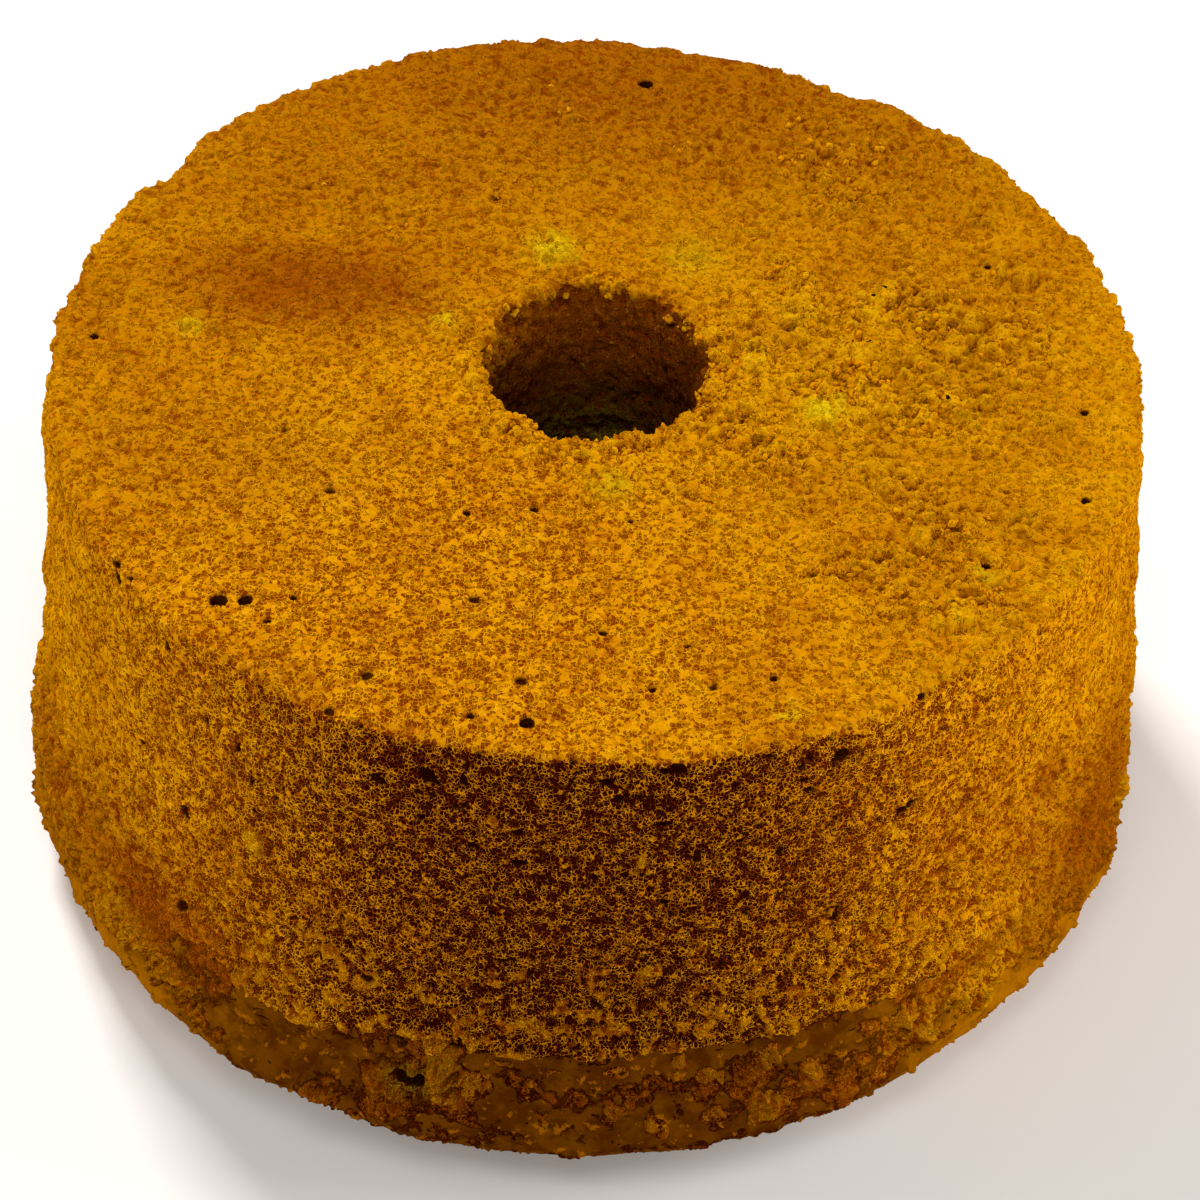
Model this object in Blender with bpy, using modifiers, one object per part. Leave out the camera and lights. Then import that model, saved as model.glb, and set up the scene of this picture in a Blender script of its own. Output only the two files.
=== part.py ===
"""Tube-pan sponge cake, turned out and standing on its wider, rounded face.

One solid of revolution with a tapered hole, whose surface is then worked over: slightly out of
round and leaning, lumpy, with a groove low on the wall, a chipped rim, torn clumps and large pores.

Metres, +Z up. The origin is under the middle of the cake on the surface that it stands on.
Angles run from the front, which is -Y, towards the right, which is +X.
"""

import math

import bmesh
import bpy
import numpy as np
from mathutils import Matrix, Vector

MM = 0.001

# Driving sizes
TOP_RADIUS = 91.5 * MM
WIDEST_RADIUS = 100.0 * MM
WIDEST_HEIGHT = 14.0 * MM
FOOT_RADIUS = 77.0 * MM
HEIGHT = 97.4 * MM
HOLE_TOP_RADIUS = 19.6 * MM
HOLE_FOOT_RADIUS = 17.8 * MM
LEAN = 1.4 * MM

# Edge roundings
RIM_ROUND = 1.7 * MM
HOLE_TOP_ROUND = 1.2 * MM
HOLE_FOOT_ROUND = 4.0 * MM

# Groove where the browned band at the foot meets the porous wall
GROOVE_HEIGHT = 32.0 * MM
GROOVE_WAVE = 1.6 * MM
GROOVE_SAG = 4.0 * MM
GROOVE_SAG_ANGLE = -27.0
GROOVE_SAG_SPREAD = 9.0
GROOVE_DEPTH = 1.5 * MM
GROOVE_LIP = 1.3 * MM
BAND_INSET = 0.6 * MM
BAND_DROP = 1.6 * MM
GROOVE_REACH = 22.0 * MM

# Unevenness of the upper cake: lobes round it, their depth, and where the first one points
OUT_OF_ROUND = (
    (1, 0.20 * MM, -96.0),
    (2, 0.35 * MM, 75.0),
    (3, 0.30 * MM, -24.0),
    (4, 0.40 * MM, 34.0),
)
WALL_LUMP_PITCH = 26.0 * MM
WALL_LUMP_DEPTH = 0.35 * MM
WALL_CRAG_PITCH = 12.0 * MM
WALL_CRAG_DEPTH = 0.40 * MM
TOP_LUMP_PITCH = 30.0 * MM
TOP_LUMP_DEPTH = 0.30 * MM
HOLE_CRAG_PITCH = 9.0 * MM
HOLE_CRAG_DEPTH = 0.45 * MM
WAVES = 7
GOLDEN_ANGLE = math.radians(137.5)

# Raised and sunken patches of the wall: angle, height, half width, half height, how far out
WALL_PATCHES = (
    ("left crust", -82.0, 18.0 * MM, 18.0 * MM, 10.0 * MM, 0.3 * MM),
    ("left hollow", -85.0, 55.0 * MM, 26.0 * MM, 26.0 * MM, -1.6 * MM),
    ("right swell", 80.0, 41.0 * MM, 26.0 * MM, 30.0 * MM, 0.9 * MM),
    ("right lower swell", 63.0, 12.0 * MM, 16.0 * MM, 8.0 * MM, 1.0 * MM),
    ("front swell", -8.0, 9.0 * MM, 62.0 * MM, 9.0 * MM, 1.2 * MM),
    ("left ridge", -36.0, 52.0 * MM, 9.0 * MM, 4.0 * MM, 0.7 * MM),
    ("right hollow", 52.0, 62.0 * MM, 10.0 * MM, 9.0 * MM, -0.6 * MM),
    ("front torn clump", -12.0, 26.0 * MM, 8.0 * MM, 6.0 * MM, 1.1 * MM),
    ("right torn clump", 27.0, 24.0 * MM, 9.0 * MM, 6.0 * MM, 0.9 * MM),
    ("back crust", 158.0, 40.0 * MM, 20.0 * MM, 12.0 * MM, 0.8 * MM),
    ("back hollow", -140.0, 60.0 * MM, 14.0 * MM, 10.0 * MM, -0.6 * MM),
)

# Chips of the rim: angle, half width, how far in, how far down
RIM_CHIPS = (
    ("left chip", -29.0, 9.0 * MM, 1.6 * MM, 2.4 * MM),
    ("front left chip", -15.0, 9.0 * MM, 1.2 * MM, 1.4 * MM),
    ("front chip", 6.0, 5.0 * MM, 1.5 * MM, 1.6 * MM),
    ("right chip", 36.0, 3.5 * MM, 1.2 * MM, 1.4 * MM),
    ("back chip", 150.0, 6.0 * MM, 0.9 * MM, 0.7 * MM),
    ("far left chip", -122.0, 6.0 * MM, 1.0 * MM, 1.0 * MM),
)
RIM_REACH = 6.0 * MM

# Torn clumps standing on the top face: x, y, length, width, height, turn
TOP_CLUMPS = (
    ("hole clump right", 24.0 * MM, -10.5 * MM, 8.0 * MM, 5.0 * MM, 1.5 * MM, 20.0),
    ("hole clump back", -7.0 * MM, 27.0 * MM, 8.5 * MM, 4.5 * MM, 1.3 * MM, 5.0),
    ("middle right clump", 45.0 * MM, 4.0 * MM, 9.0 * MM, 6.0 * MM, 1.2 * MM, 35.0),
    ("right clump", 62.0 * MM, 14.0 * MM, 10.0 * MM, 7.0 * MM, 1.4 * MM, -25.0),
    ("front right clump", 51.0 * MM, -43.0 * MM, 10.0 * MM, 6.0 * MM, 1.3 * MM, 50.0),
    ("rim clump", 70.0 * MM, -36.0 * MM, 8.0 * MM, 5.0 * MM, 1.3 * MM, 65.0),
    ("back right clump", 66.0 * MM, 42.0 * MM, 9.0 * MM, 6.0 * MM, 1.2 * MM, -50.0),
    ("left clump", -67.0 * MM, 5.0 * MM, 7.0 * MM, 4.5 * MM, 1.1 * MM, -15.0),
)
CLUMP_SINK = 0.45

# Flakes of crust that stand off the wall: angle, height, width, tallness, how far out
WALL_FLAKES = (
    ("torn flake", -9.0, 27.0 * MM, 7.0 * MM, 5.0 * MM, 1.7 * MM),
    ("low flake", 19.0, 19.0 * MM, 6.0 * MM, 6.0 * MM, 1.5 * MM),
    ("right flake", 96.0, 66.0 * MM, 7.0 * MM, 4.0 * MM, 1.4 * MM),
    ("right low flake", 74.0, 25.0 * MM, 8.0 * MM, 4.0 * MM, 1.5 * MM),
    ("back flake", 176.0, 52.0 * MM, 9.0 * MM, 4.5 * MM, 1.5 * MM),
    ("back left flake", -118.0, 72.0 * MM, 7.0 * MM, 4.0 * MM, 1.4 * MM),
)
FLAKE_SINK = 0.60

# Large pores of the top face: x, y, width, depth
TOP_PORES = (
    ("left pair a", -57.1 * MM, -59.3 * MM, 3.0 * MM, 1.8 * MM),
    ("left pair b", -53.0 * MM, -59.1 * MM, 2.6 * MM, 1.6 * MM),
    ("front pore", -8.3 * MM, -84.0 * MM, 2.6 * MM, 1.6 * MM),
    ("back pore", 7.1 * MM, 78.4 * MM, 3.0 * MM, 1.8 * MM),
)

# Large pores, slits and torn holes of the wall: angle, height, width, tallness, depth, turn
WALL_PORES = (
    ("rim pore left", -54.0, 95.0 * MM, 3.0 * MM, 3.0 * MM, 2.0 * MM, 0.0),
    ("rim pore right", 35.6, 96.0 * MM, 3.2 * MM, 3.0 * MM, 2.2 * MM, 0.0),
    ("rim pore front", 9.4, 94.6 * MM, 2.8 * MM, 2.8 * MM, 2.0 * MM, 0.0),
    ("upper pore left", -19.2, 87.3 * MM, 3.4 * MM, 2.6 * MM, 2.2 * MM, 0.0),
    ("upper pore middle", -14.5, 89.5 * MM, 3.6 * MM, 2.6 * MM, 2.2 * MM, -20.0),
    ("upper pore right", 25.2, 92.0 * MM, 3.2 * MM, 2.8 * MM, 2.2 * MM, 20.0),
    ("slit", 33.3, 75.5 * MM, 4.2 * MM, 1.6 * MM, 2.6 * MM, 35.0),
    ("torn hole", -14.7, 24.0 * MM, 6.0 * MM, 3.6 * MM, 3.0 * MM, 10.0),
    ("foot notch", 15.8, 10.5 * MM, 5.0 * MM, 5.0 * MM, 2.4 * MM, 0.0),
)

# How finely the turned body is cut
SEGMENTS = 104
WALL_ROWS = 9
BAND_ROWS = 2
BASE_ROWS = 5
FOOT_ROWS = 2
HOLE_ROWS = 4
TOP_ROWS = 7
RIM_ROWS = 3
HOLE_TOP_ROWS = 2
HOLE_FOOT_ROWS = 2
MERGE = 0.01 * MM

CRUMB_COLOUR = (0.52, 0.26, 0.02, 1.0)


def clear_scene():
    """Remove everything that the scene starts with."""
    for thing in list(bpy.data.objects):
        bpy.data.objects.remove(thing, do_unlink=True)
    for group in list(bpy.data.collections):
        bpy.data.collections.remove(group)


def new_collection(name):
    group = bpy.data.collections.new(name)
    bpy.context.scene.collection.children.link(group)
    return group


def crumb_material():
    """Golden sponge, dull all over."""
    material = bpy.data.materials.new("golden crumb")
    material.use_nodes = True
    shader = material.node_tree.nodes["Principled BSDF"]
    shader.inputs["Base Color"].default_value = CRUMB_COLOUR
    shader.inputs["Roughness"].default_value = 0.9
    shader.inputs["Metallic"].default_value = 0.0
    return material


def arc(centre_radius, centre_height, across, tall, start, end, rows):
    """Points of an elliptic arc in the profile's plane, without its first one."""
    points = []
    for row in range(1, rows + 1):
        turn = math.radians(start + (end - start) * row / rows)
        radius = centre_radius + across * math.cos(turn)
        points.append((radius, centre_height + tall * math.sin(turn)))
    return points


def line(start, end, rows):
    """Points along a straight stretch of the profile, without its first one."""
    points = []
    for row in range(1, rows + 1):
        share = row / rows
        radius = start[0] + (end[0] - start[0]) * share
        points.append((radius, start[1] + (end[1] - start[1]) * share))
    return points


def cone_radius(height):
    """Radius of the wall's plain cone, which widens towards the foot."""
    top = HEIGHT - RIM_ROUND
    share = (top - height) / (top - WIDEST_HEIGHT)
    return TOP_RADIUS + (WIDEST_RADIUS - TOP_RADIUS) * share


def profile():
    """Closed outline of half the cake, down the outer side and back up through the hole."""
    lip = GROOVE_HEIGHT + GROOVE_LIP
    band = GROOVE_HEIGHT - BAND_DROP
    foot = HOLE_FOOT_ROUND
    hole_top = HEIGHT - HOLE_TOP_ROUND
    points = [(TOP_RADIUS - RIM_ROUND, HEIGHT)]
    points += arc(points[0][0], HEIGHT - RIM_ROUND, RIM_ROUND, RIM_ROUND, 90, 0, RIM_ROWS)
    points += line(points[-1], (cone_radius(lip), lip), WALL_ROWS)
    points += [(cone_radius(GROOVE_HEIGHT) - GROOVE_DEPTH, GROOVE_HEIGHT)]
    points += [(cone_radius(band) - BAND_INSET, band)]
    points += line(points[-1], (WIDEST_RADIUS, WIDEST_HEIGHT), BAND_ROWS)
    across = WIDEST_RADIUS - FOOT_RADIUS
    points += arc(FOOT_RADIUS, WIDEST_HEIGHT, across, WIDEST_HEIGHT, 0, -90, BASE_ROWS)
    points += line(points[-1], (HOLE_FOOT_RADIUS + foot, 0.0), FOOT_ROWS)
    points += arc(HOLE_FOOT_RADIUS + foot, foot, foot, foot, 270, 180, HOLE_FOOT_ROWS)
    points += line(points[-1], (HOLE_TOP_RADIUS, hole_top), HOLE_ROWS)
    bend = HOLE_TOP_RADIUS + HOLE_TOP_ROUND
    points += arc(bend, hole_top, HOLE_TOP_ROUND, HOLE_TOP_ROUND, 180, 90, HOLE_TOP_ROWS)
    points += line(points[-1], points[0], TOP_ROWS)[:-1]
    return points


def turned_body(group):
    """The plain cake: its outline turned once round the hole."""
    points = profile()
    count = len(points)
    mesh = bpy.data.meshes.new("outline")
    edges = [(index, (index + 1) % count) for index in range(count)]
    mesh.from_pydata([(radius, 0.0, height) for radius, height in points], edges, [])
    outline = bpy.data.objects.new("outline", mesh)
    group.objects.link(outline)
    turn = outline.modifiers.new("turn", "SCREW")
    turn.axis = "Z"
    turn.angle = math.tau
    turn.steps = SEGMENTS
    turn.render_steps = SEGMENTS
    turn.use_merge_vertices = True
    turn.merge_threshold = MERGE
    return applied(outline, "cake", group)


def applied(source, name, group):
    """A new object holding what source looks like with its modifiers, in place of source."""
    graph = bpy.context.evaluated_depsgraph_get()
    mesh = bpy.data.meshes.new_from_object(source.evaluated_get(graph))
    result = bpy.data.objects.new(name, mesh)
    result.matrix_world = source.matrix_world
    group.objects.link(result)
    bpy.data.objects.remove(source, do_unlink=True)
    return result


def waves(x, y, z, pitch, turn):
    """Smooth unevenness between about -1 and 1: crossed waves of roughly one pitch."""
    total = np.zeros_like(x)
    for number in range(WAVES):
        yaw = turn + number * GOLDEN_ANGLE
        climb = math.sin(turn + 1.9 * number)
        level = math.sqrt(1.0 - climb * climb)
        along = (x * math.cos(yaw) + y * math.sin(yaw)) * level + z * climb
        stretch = 0.75 + 0.5 * number / WAVES
        total += np.sin(math.tau * stretch * along / pitch + number * number)
    return total / math.sqrt(WAVES)


def hump(distance, half):
    """One in the middle, falling smoothly to nothing a little past half."""
    return np.exp(-((distance / half) ** 2))


def plateau(distance, half, edge):
    """One inside half, nothing beyond it, with a soft step of width edge between."""
    step = np.clip((half + edge / 2 - np.abs(distance)) / edge, 0.0, 1.0)
    return step * step * (3 - 2 * step)


def turn_between(angle, centre):
    """Signed turn in degrees from centre to each angle."""
    return (angle - centre + 180.0) % 360.0 - 180.0


def groove_shift(angle):
    """How far the groove lies above its mean height at each angle."""
    wave = GROOVE_WAVE * np.cos(np.radians(2 * angle))
    sag = GROOVE_SAG * hump(turn_between(angle, GROOVE_SAG_ANGLE), GROOVE_SAG_SPREAD)
    return wave - sag


def lobes(angle):
    """How far the cake is out of round at each angle."""
    total = np.zeros_like(angle)
    for count, depth, first in OUT_OF_ROUND:
        total += depth * np.cos(np.radians(count * (angle - first)))
    return total


def wall_relief(angle, height):
    """How far the wall's surface stands out from the plain cone."""
    x = cone_radius(height) * np.sin(np.radians(angle))
    y = -cone_radius(height) * np.cos(np.radians(angle))
    out = WALL_LUMP_DEPTH * waves(x, y, height, WALL_LUMP_PITCH, 0.4)
    out += WALL_CRAG_DEPTH * waves(x, y, height, WALL_CRAG_PITCH, 2.3)
    for _, centre, level, half_width, half_height, depth in WALL_PATCHES:
        along = np.radians(turn_between(angle, centre)) * WIDEST_RADIUS
        round_it = plateau(along, half_width, half_width * 0.6)
        out += depth * round_it * plateau(height - level, half_height, 5 * MM)
    return out


def chip_relief(angle, from_rim):
    """How far in and how far down each point of the rim is chipped."""
    inwards = np.zeros_like(angle)
    down = np.zeros_like(angle)
    for _, centre, half_width, depth, drop in RIM_CHIPS:
        along = np.radians(turn_between(angle, centre)) * TOP_RADIUS
        amount = hump(along, half_width) * hump(from_rim, RIM_REACH)
        inwards += depth * amount
        down += drop * amount
    return inwards, down


def work_over(cake):
    """Move the turned body's points to the real, uneven surface."""
    count = len(cake.data.vertices)
    flat = np.empty(count * 3)
    cake.data.vertices.foreach_get("co", flat)
    x, y, z = flat.reshape(-1, 3).T.copy()
    radius = np.hypot(x, y)
    angle = np.degrees(np.arctan2(x, -y))
    outside = radius > (HOLE_TOP_RADIUS + FOOT_RADIUS) / 2
    on_top = z > HEIGHT - MERGE
    in_hole = radius < HOLE_TOP_RADIUS + MERGE
    off_foot = np.clip(z / WIDEST_HEIGHT, 0.0, 1.0)

    near_groove = plateau(z - GROOVE_HEIGHT, GROOVE_REACH / 2, GROOVE_REACH / 2)
    shift = groove_shift(angle) * near_groove * outside
    height = z + shift
    cone_step = np.where(outside & ~on_top, cone_radius(height) - cone_radius(z), 0.0)
    cone_step *= near_groove

    out = lobes(angle) * np.clip(radius / TOP_RADIUS, 0.0, 1.0) ** 2 * z / HEIGHT
    on_wall = outside & (radius > cone_radius(z) * 0.93)
    out += wall_relief(angle, height) * off_foot * on_wall
    out += HOLE_CRAG_DEPTH * waves(x, y, z, HOLE_CRAG_PITCH, 1.1) * in_hole
    from_rim = np.hypot(np.maximum(TOP_RADIUS - radius, 0.0), HEIGHT - z)
    inwards, down = chip_relief(angle, from_rim)
    out -= inwards * outside
    radius = radius + out + cone_step
    lumps = TOP_LUMP_DEPTH * waves(x, y, z, TOP_LUMP_PITCH, 3.0)
    height = height - down * outside + lumps * on_top

    turn = np.radians(angle)
    moved = np.stack([radius * np.sin(turn), -radius * np.cos(turn), height], 1)
    moved[:, 0] += LEAN * z / HEIGHT
    cake.data.vertices.foreach_set("co", moved.ravel())
    cake.data.update()


def wall_frame(angle, height, outwards):
    """Axes at a place on the wall: along it, up it and out of it, with the place as origin."""
    turn = math.radians(angle)
    normal = Vector((math.sin(turn), -math.cos(turn), 0.0))
    along = Vector((math.cos(turn), math.sin(turn), 0.0))
    spot = np.array([angle]), np.array([height])
    relief = lobes(spot[0]) * height / HEIGHT + wall_relief(*spot)
    radius = cone_radius(height)
    if height < WIDEST_HEIGHT:
        across = WIDEST_RADIUS - FOOT_RADIUS
        share = 1.0 - height / WIDEST_HEIGHT
        radius = FOOT_RADIUS + across * math.sqrt(1.0 - share * share)
    radius += float(relief[0]) + outwards
    place = normal * radius + Vector((LEAN * height / HEIGHT, 0.0, height))
    frame = Matrix.Identity(4)
    up = Vector((0.0, 0.0, 1.0))
    for column, axis in enumerate((along, up, -normal)):
        for row in range(3):
            frame[row][column] = axis[row]
    frame.translation = place
    return frame


def blob(name, group, size, frame, subdivisions=1):
    """A faceted ellipsoid of the given full size, placed by frame."""
    mesh = bpy.data.meshes.new(name)
    shape = bmesh.new()
    bmesh.ops.create_icosphere(shape, subdivisions=subdivisions, radius=0.5)
    shape.to_mesh(mesh)
    shape.free()
    mesh.transform(frame @ Matrix.Diagonal((*size, 1.0)))
    result = bpy.data.objects.new(name, mesh)
    result.hide_render = True
    result.display_type = "WIRE"
    group.objects.link(result)
    return result


def make_crags(group):
    """Clumps on the top face and flakes on the wall, to be fused to the cake."""
    for name, x, y, length, width, rise, turn in TOP_CLUMPS:
        frame = Matrix.Translation((x + LEAN, y, HEIGHT + rise * (0.5 - CLUMP_SINK)))
        frame = frame @ Matrix.Rotation(math.radians(turn), 4, "Z")
        full = rise * (1.0 + 2 * CLUMP_SINK)
        blob(name, group, (length, width, full), frame, 2)
    for name, angle, height, width, tallness, rise in WALL_FLAKES:
        frame = wall_frame(angle, height, rise * (0.5 - FLAKE_SINK))
        full = rise * (1.0 + 2 * FLAKE_SINK)
        blob(name, group, (width, tallness, full), frame, 2)


def make_pores(group):
    """Cutters for the large pores, the slit, the torn hole and the notch at the foot."""
    for name, x, y, width, depth in TOP_PORES:
        frame = Matrix.Translation((x + LEAN, y, HEIGHT))
        blob(name, group, (width, width, 2 * depth), frame)
    for name, angle, height, width, tallness, depth, turn in WALL_PORES:
        frame = wall_frame(angle, height, 0.0)
        frame = frame @ Matrix.Rotation(math.radians(turn), 4, "Z")
        blob(name, group, (width, tallness, 2 * depth), frame)


def combine(cake, tools, operation, group):
    """Fuse or cut the cake with every object of tools, which are then removed."""
    step = cake.modifiers.new(operation.lower(), "BOOLEAN")
    step.operation = operation
    step.operand_type = "COLLECTION"
    step.collection = tools
    step.solver = "EXACT"
    step.use_self = True
    result = applied(cake, "cake", group)
    for tool in list(tools.objects):
        bpy.data.objects.remove(tool, do_unlink=True)
    bpy.data.collections.remove(tools)
    return result


def centre_over_origin(cake):
    """Slide the cake level so that its box is centred on the origin, with its foot at zero."""
    count = len(cake.data.vertices)
    flat = np.empty(count * 3)
    cake.data.vertices.foreach_get("co", flat)
    points = flat.reshape(-1, 3)
    middle = (points.min(0) + points.max(0)) / 2
    points -= (middle[0], middle[1], points[:, 2].min())
    cake.data.vertices.foreach_set("co", points.ravel())
    cake.data.update()


def main():
    clear_scene()
    group = new_collection("sponge_cake")
    cake = turned_body(group)
    work_over(cake)
    crags = new_collection("crags")
    make_crags(crags)
    cake = combine(cake, crags, "UNION", group)
    pores = new_collection("pores")
    make_pores(pores)
    cake = combine(cake, pores, "DIFFERENCE", group)
    cake.name = "cake"
    centre_over_origin(cake)
    cake.data.materials.clear()
    cake.data.materials.append(crumb_material())
    cake.data.shade_smooth()
    cake.data.set_sharp_from_angle(angle=math.radians(40))


main()
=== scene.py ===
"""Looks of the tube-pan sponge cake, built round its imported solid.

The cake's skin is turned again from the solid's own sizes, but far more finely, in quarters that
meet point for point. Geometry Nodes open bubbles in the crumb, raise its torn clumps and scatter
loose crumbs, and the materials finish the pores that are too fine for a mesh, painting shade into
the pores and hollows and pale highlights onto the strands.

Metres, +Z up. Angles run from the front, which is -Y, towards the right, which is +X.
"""

import math

import bpy
import numpy as np
from bpy.props import FloatProperty, FloatVectorProperty, IntProperty, PointerProperty
from mathutils import Matrix, Vector


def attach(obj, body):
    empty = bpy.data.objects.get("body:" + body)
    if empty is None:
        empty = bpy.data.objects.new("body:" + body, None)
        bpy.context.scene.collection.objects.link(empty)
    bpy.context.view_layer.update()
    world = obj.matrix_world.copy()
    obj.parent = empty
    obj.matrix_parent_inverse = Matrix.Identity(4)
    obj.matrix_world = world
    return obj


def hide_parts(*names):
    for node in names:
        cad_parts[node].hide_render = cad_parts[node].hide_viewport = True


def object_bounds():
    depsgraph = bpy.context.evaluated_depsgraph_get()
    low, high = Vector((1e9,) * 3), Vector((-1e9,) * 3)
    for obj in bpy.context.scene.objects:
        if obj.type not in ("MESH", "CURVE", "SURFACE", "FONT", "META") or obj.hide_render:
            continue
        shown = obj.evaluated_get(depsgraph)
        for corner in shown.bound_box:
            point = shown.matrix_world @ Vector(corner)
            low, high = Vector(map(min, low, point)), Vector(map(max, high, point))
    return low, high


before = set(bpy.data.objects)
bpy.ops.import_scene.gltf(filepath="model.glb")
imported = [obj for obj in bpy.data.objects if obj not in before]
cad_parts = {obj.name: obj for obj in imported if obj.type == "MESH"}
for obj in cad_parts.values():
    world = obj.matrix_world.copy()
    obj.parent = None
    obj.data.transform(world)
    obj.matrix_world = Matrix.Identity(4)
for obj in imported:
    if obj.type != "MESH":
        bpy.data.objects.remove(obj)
CAD_LOW, CAD_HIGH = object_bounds()

bl_info = {
    "name": "Sponge cake",
    "version": (1, 0, 0),
    "blender": (4, 5, 0),
    "location": "View3D > Sidebar > Cake",
    "description": "Makes a tube-pan sponge cake with open, porous crumb",
    "category": "Add Mesh",
}

MM = 0.001
BODY = "root"
NODE = "cake"
MAP_NAME = "OFBake"


def in_metres(columns, rows):
    """A table's rows, of which these columns are written in millimetres."""
    return tuple(
        tuple(value * MM if column in columns else value for column, value in enumerate(row)) for row in rows
    )


# Driving sizes, the same as the solid's
TOP_RADIUS = 91.5 * MM
WIDEST_RADIUS = 100.0 * MM
WIDEST_HEIGHT = 14.0 * MM
FOOT_RADIUS = 77.0 * MM
HEIGHT = 97.4 * MM
HOLE_TOP_RADIUS = 19.6 * MM
HOLE_FOOT_RADIUS = 17.8 * MM
LEAN = 1.4 * MM
RIM_ROUND = 1.7 * MM
HOLE_TOP_ROUND = 1.2 * MM
HOLE_FOOT_ROUND = 4.0 * MM

# Where the hole's axis meets the ground, from the middle of the solid's box
AXIS_X = -0.44 * MM
AXIS_Y = 0.69 * MM

# Groove where the browned band at the foot meets the porous wall
GROOVE_HEIGHT = 32.0 * MM
GROOVE_WAVE = 1.6 * MM
GROOVE_SAG = 4.0 * MM
GROOVE_SAG_ANGLE = -27.0
GROOVE_SAG_SPREAD = 9.0
GROOVE_DEPTH = 1.5 * MM
GROOVE_LIP = 1.3 * MM
BAND_INSET = 0.6 * MM
BAND_DROP = 1.6 * MM
GROOVE_REACH = 22.0 * MM

# Past this radius a point is on the outer side, and from these shares of the cone's radius on the wall
OUTER_SIDE = (HOLE_TOP_RADIUS + FOOT_RADIUS) / 2
WALL_STARTS = (0.93, 0.97)

# Unevenness of the whole cake: lobes round it, their depth, and where the first one points
OUT_OF_ROUND = in_metres((1,), (
    (1, 0.2, -96), (2, 0.35, 75), (3, 0.3, -24), (4, 0.4, 34),
))
WALL_LUMP_PITCH = 26.0 * MM
WALL_LUMP_DEPTH = 0.35 * MM
WALL_CRAG_PITCH = 12.0 * MM
WALL_CRAG_DEPTH = 0.40 * MM
TOP_LUMP_PITCH = 30.0 * MM
TOP_LUMP_DEPTH = 0.30 * MM
HOLE_CRAG_PITCH = 9.0 * MM
HOLE_CRAG_DEPTH = 0.45 * MM
WAVES = 7
GOLDEN_ANGLE = math.radians(137.5)

# Raised and sunken patches of the wall: angle, height, half width, half height, how far out
WALL_PATCHES = in_metres((1, 2, 3, 4), (
    (-82, 18, 18, 10, 0.3), (-85, 55, 26, 26, -1.6), (80, 41, 26, 30, 0.9), (63, 12, 16, 8, 1),
    (-8, 9, 62, 9, 1.2), (-36, 52, 9, 4, 0.7), (52, 62, 10, 9, -0.6), (-12, 26, 8, 6, 1.1),
    (27, 24, 9, 6, 0.9), (158, 40, 20, 12, 0.8), (-140, 60, 14, 10, -0.6),
))

# Chips of the rim: angle, half width, how far in, how far down
RIM_CHIPS = in_metres((1, 2, 3), (
    (-29, 9, 1.6, 2.4), (-15, 9, 1.2, 1.4), (6, 5, 1.5, 1.6), (36, 3.5, 1.2, 1.4), (150, 6, 0.9, 0.7),
    (-122, 6, 1, 1),
))
RIM_REACH = 6.0 * MM

# Clumps on the top face: x, y, length, width, height, turn
TOP_CLUMPS = in_metres((0, 1, 2, 3, 4), (
    (24, -10.5, 8, 5, 1.5, 20), (-7, 27, 8.5, 4.5, 1.3, 5), (45, 4, 9, 6, 1.2, 35),
    (62, 14, 10, 7, 1.4, -25), (51, -43, 10, 6, 1.3, 50), (70, -36, 8, 5, 1.3, 65),
    (66, 42, 9, 6, 1.2, -50), (-67, 5, 7, 4.5, 1.1, -15), (71.5, 26, 9, 7, 1.6, 20),
    (62, -8.5, 12, 6, 1.5, -10), (34, 12.5, 8, 5, 1.3, 15), (27, 2, 5, 9, 1.4, -10),
    (50, 20, 10, 6, 1.2, 40), (38, -13, 8, 5, 1.5, -30), (46, -24, 9, 6, 1.3, 60),
    (58, -58, 9, 5, 1.2, 30), (76, -12, 7, 9, 1.1, 5),
))

# Flakes that stand off the wall: angle, height, width, tallness, how far out
WALL_FLAKES = in_metres((1, 2, 3, 4), (
    (-9, 27, 7, 5, 1.7), (19, 19, 6, 6, 1.5), (96, 66, 7, 4, 1.4), (74, 25, 8, 4, 1.5),
    (176, 52, 9, 4.5, 1.5), (-118, 72, 7, 4, 1.4),
))

# Smaller blobs of torn crumb on the wall and the band: angle, height, width, tallness, how far out
WALL_BLOBS = in_metres((1, 2, 3, 4), (
    (-11.6, 33, 6.5, 6, 1.7), (-11.2, 29, 5.5, 7, 2.1), (-12.2, 25, 3.6, 5, 1.9), (-9.9, 37, 6.5, 4, 1.5),
    (-10.6, 22.6, 6, 2.6, 1.2), (-8.8, 24.4, 2.4, 3.6, 1.7), (-6.1, 31.4, 3.2, 1.8, 1.2),
    (-1.1, 29.2, 2.4, 2, 1.1), (-3, 26.5, 3, 2.4, 0.9), (-2, 20.4, 3, 2.8, 0.9), (4.6, 20.8, 2.6, 6, 1.2),
    (5.2, 29.8, 5, 3, 0.9), (8.9, 17.8, 4.2, 5, 1.2), (11.2, 30.4, 2.6, 4, 1.3), (14, 27, 3.6, 4, 1.2),
    (14.4, 18.5, 5, 2.4, 1.3), (20, 29.4, 3.4, 4.6, 1.4), (24, 25, 5, 4, 1), (34, 26, 4.6, 3.6, 1.1),
    (36.5, 21, 5, 3, 1), (-3.6, 41, 5, 3.4, 1), (-13, 46, 5, 3.6, 1), (2.8, 49, 4.6, 3.4, 0.9),
    (7, 53, 5.4, 3, 0.9), (-7, 83, 4.4, 3.2, 1), (6.4, 75, 3, 5.6, 0.9), (-24, 47, 5.6, 4, 1),
    (-32, 63, 5, 4.6, 1), (-52, 28, 6, 5, 1), (-60, 34, 5, 6, 0.9),
))

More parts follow.
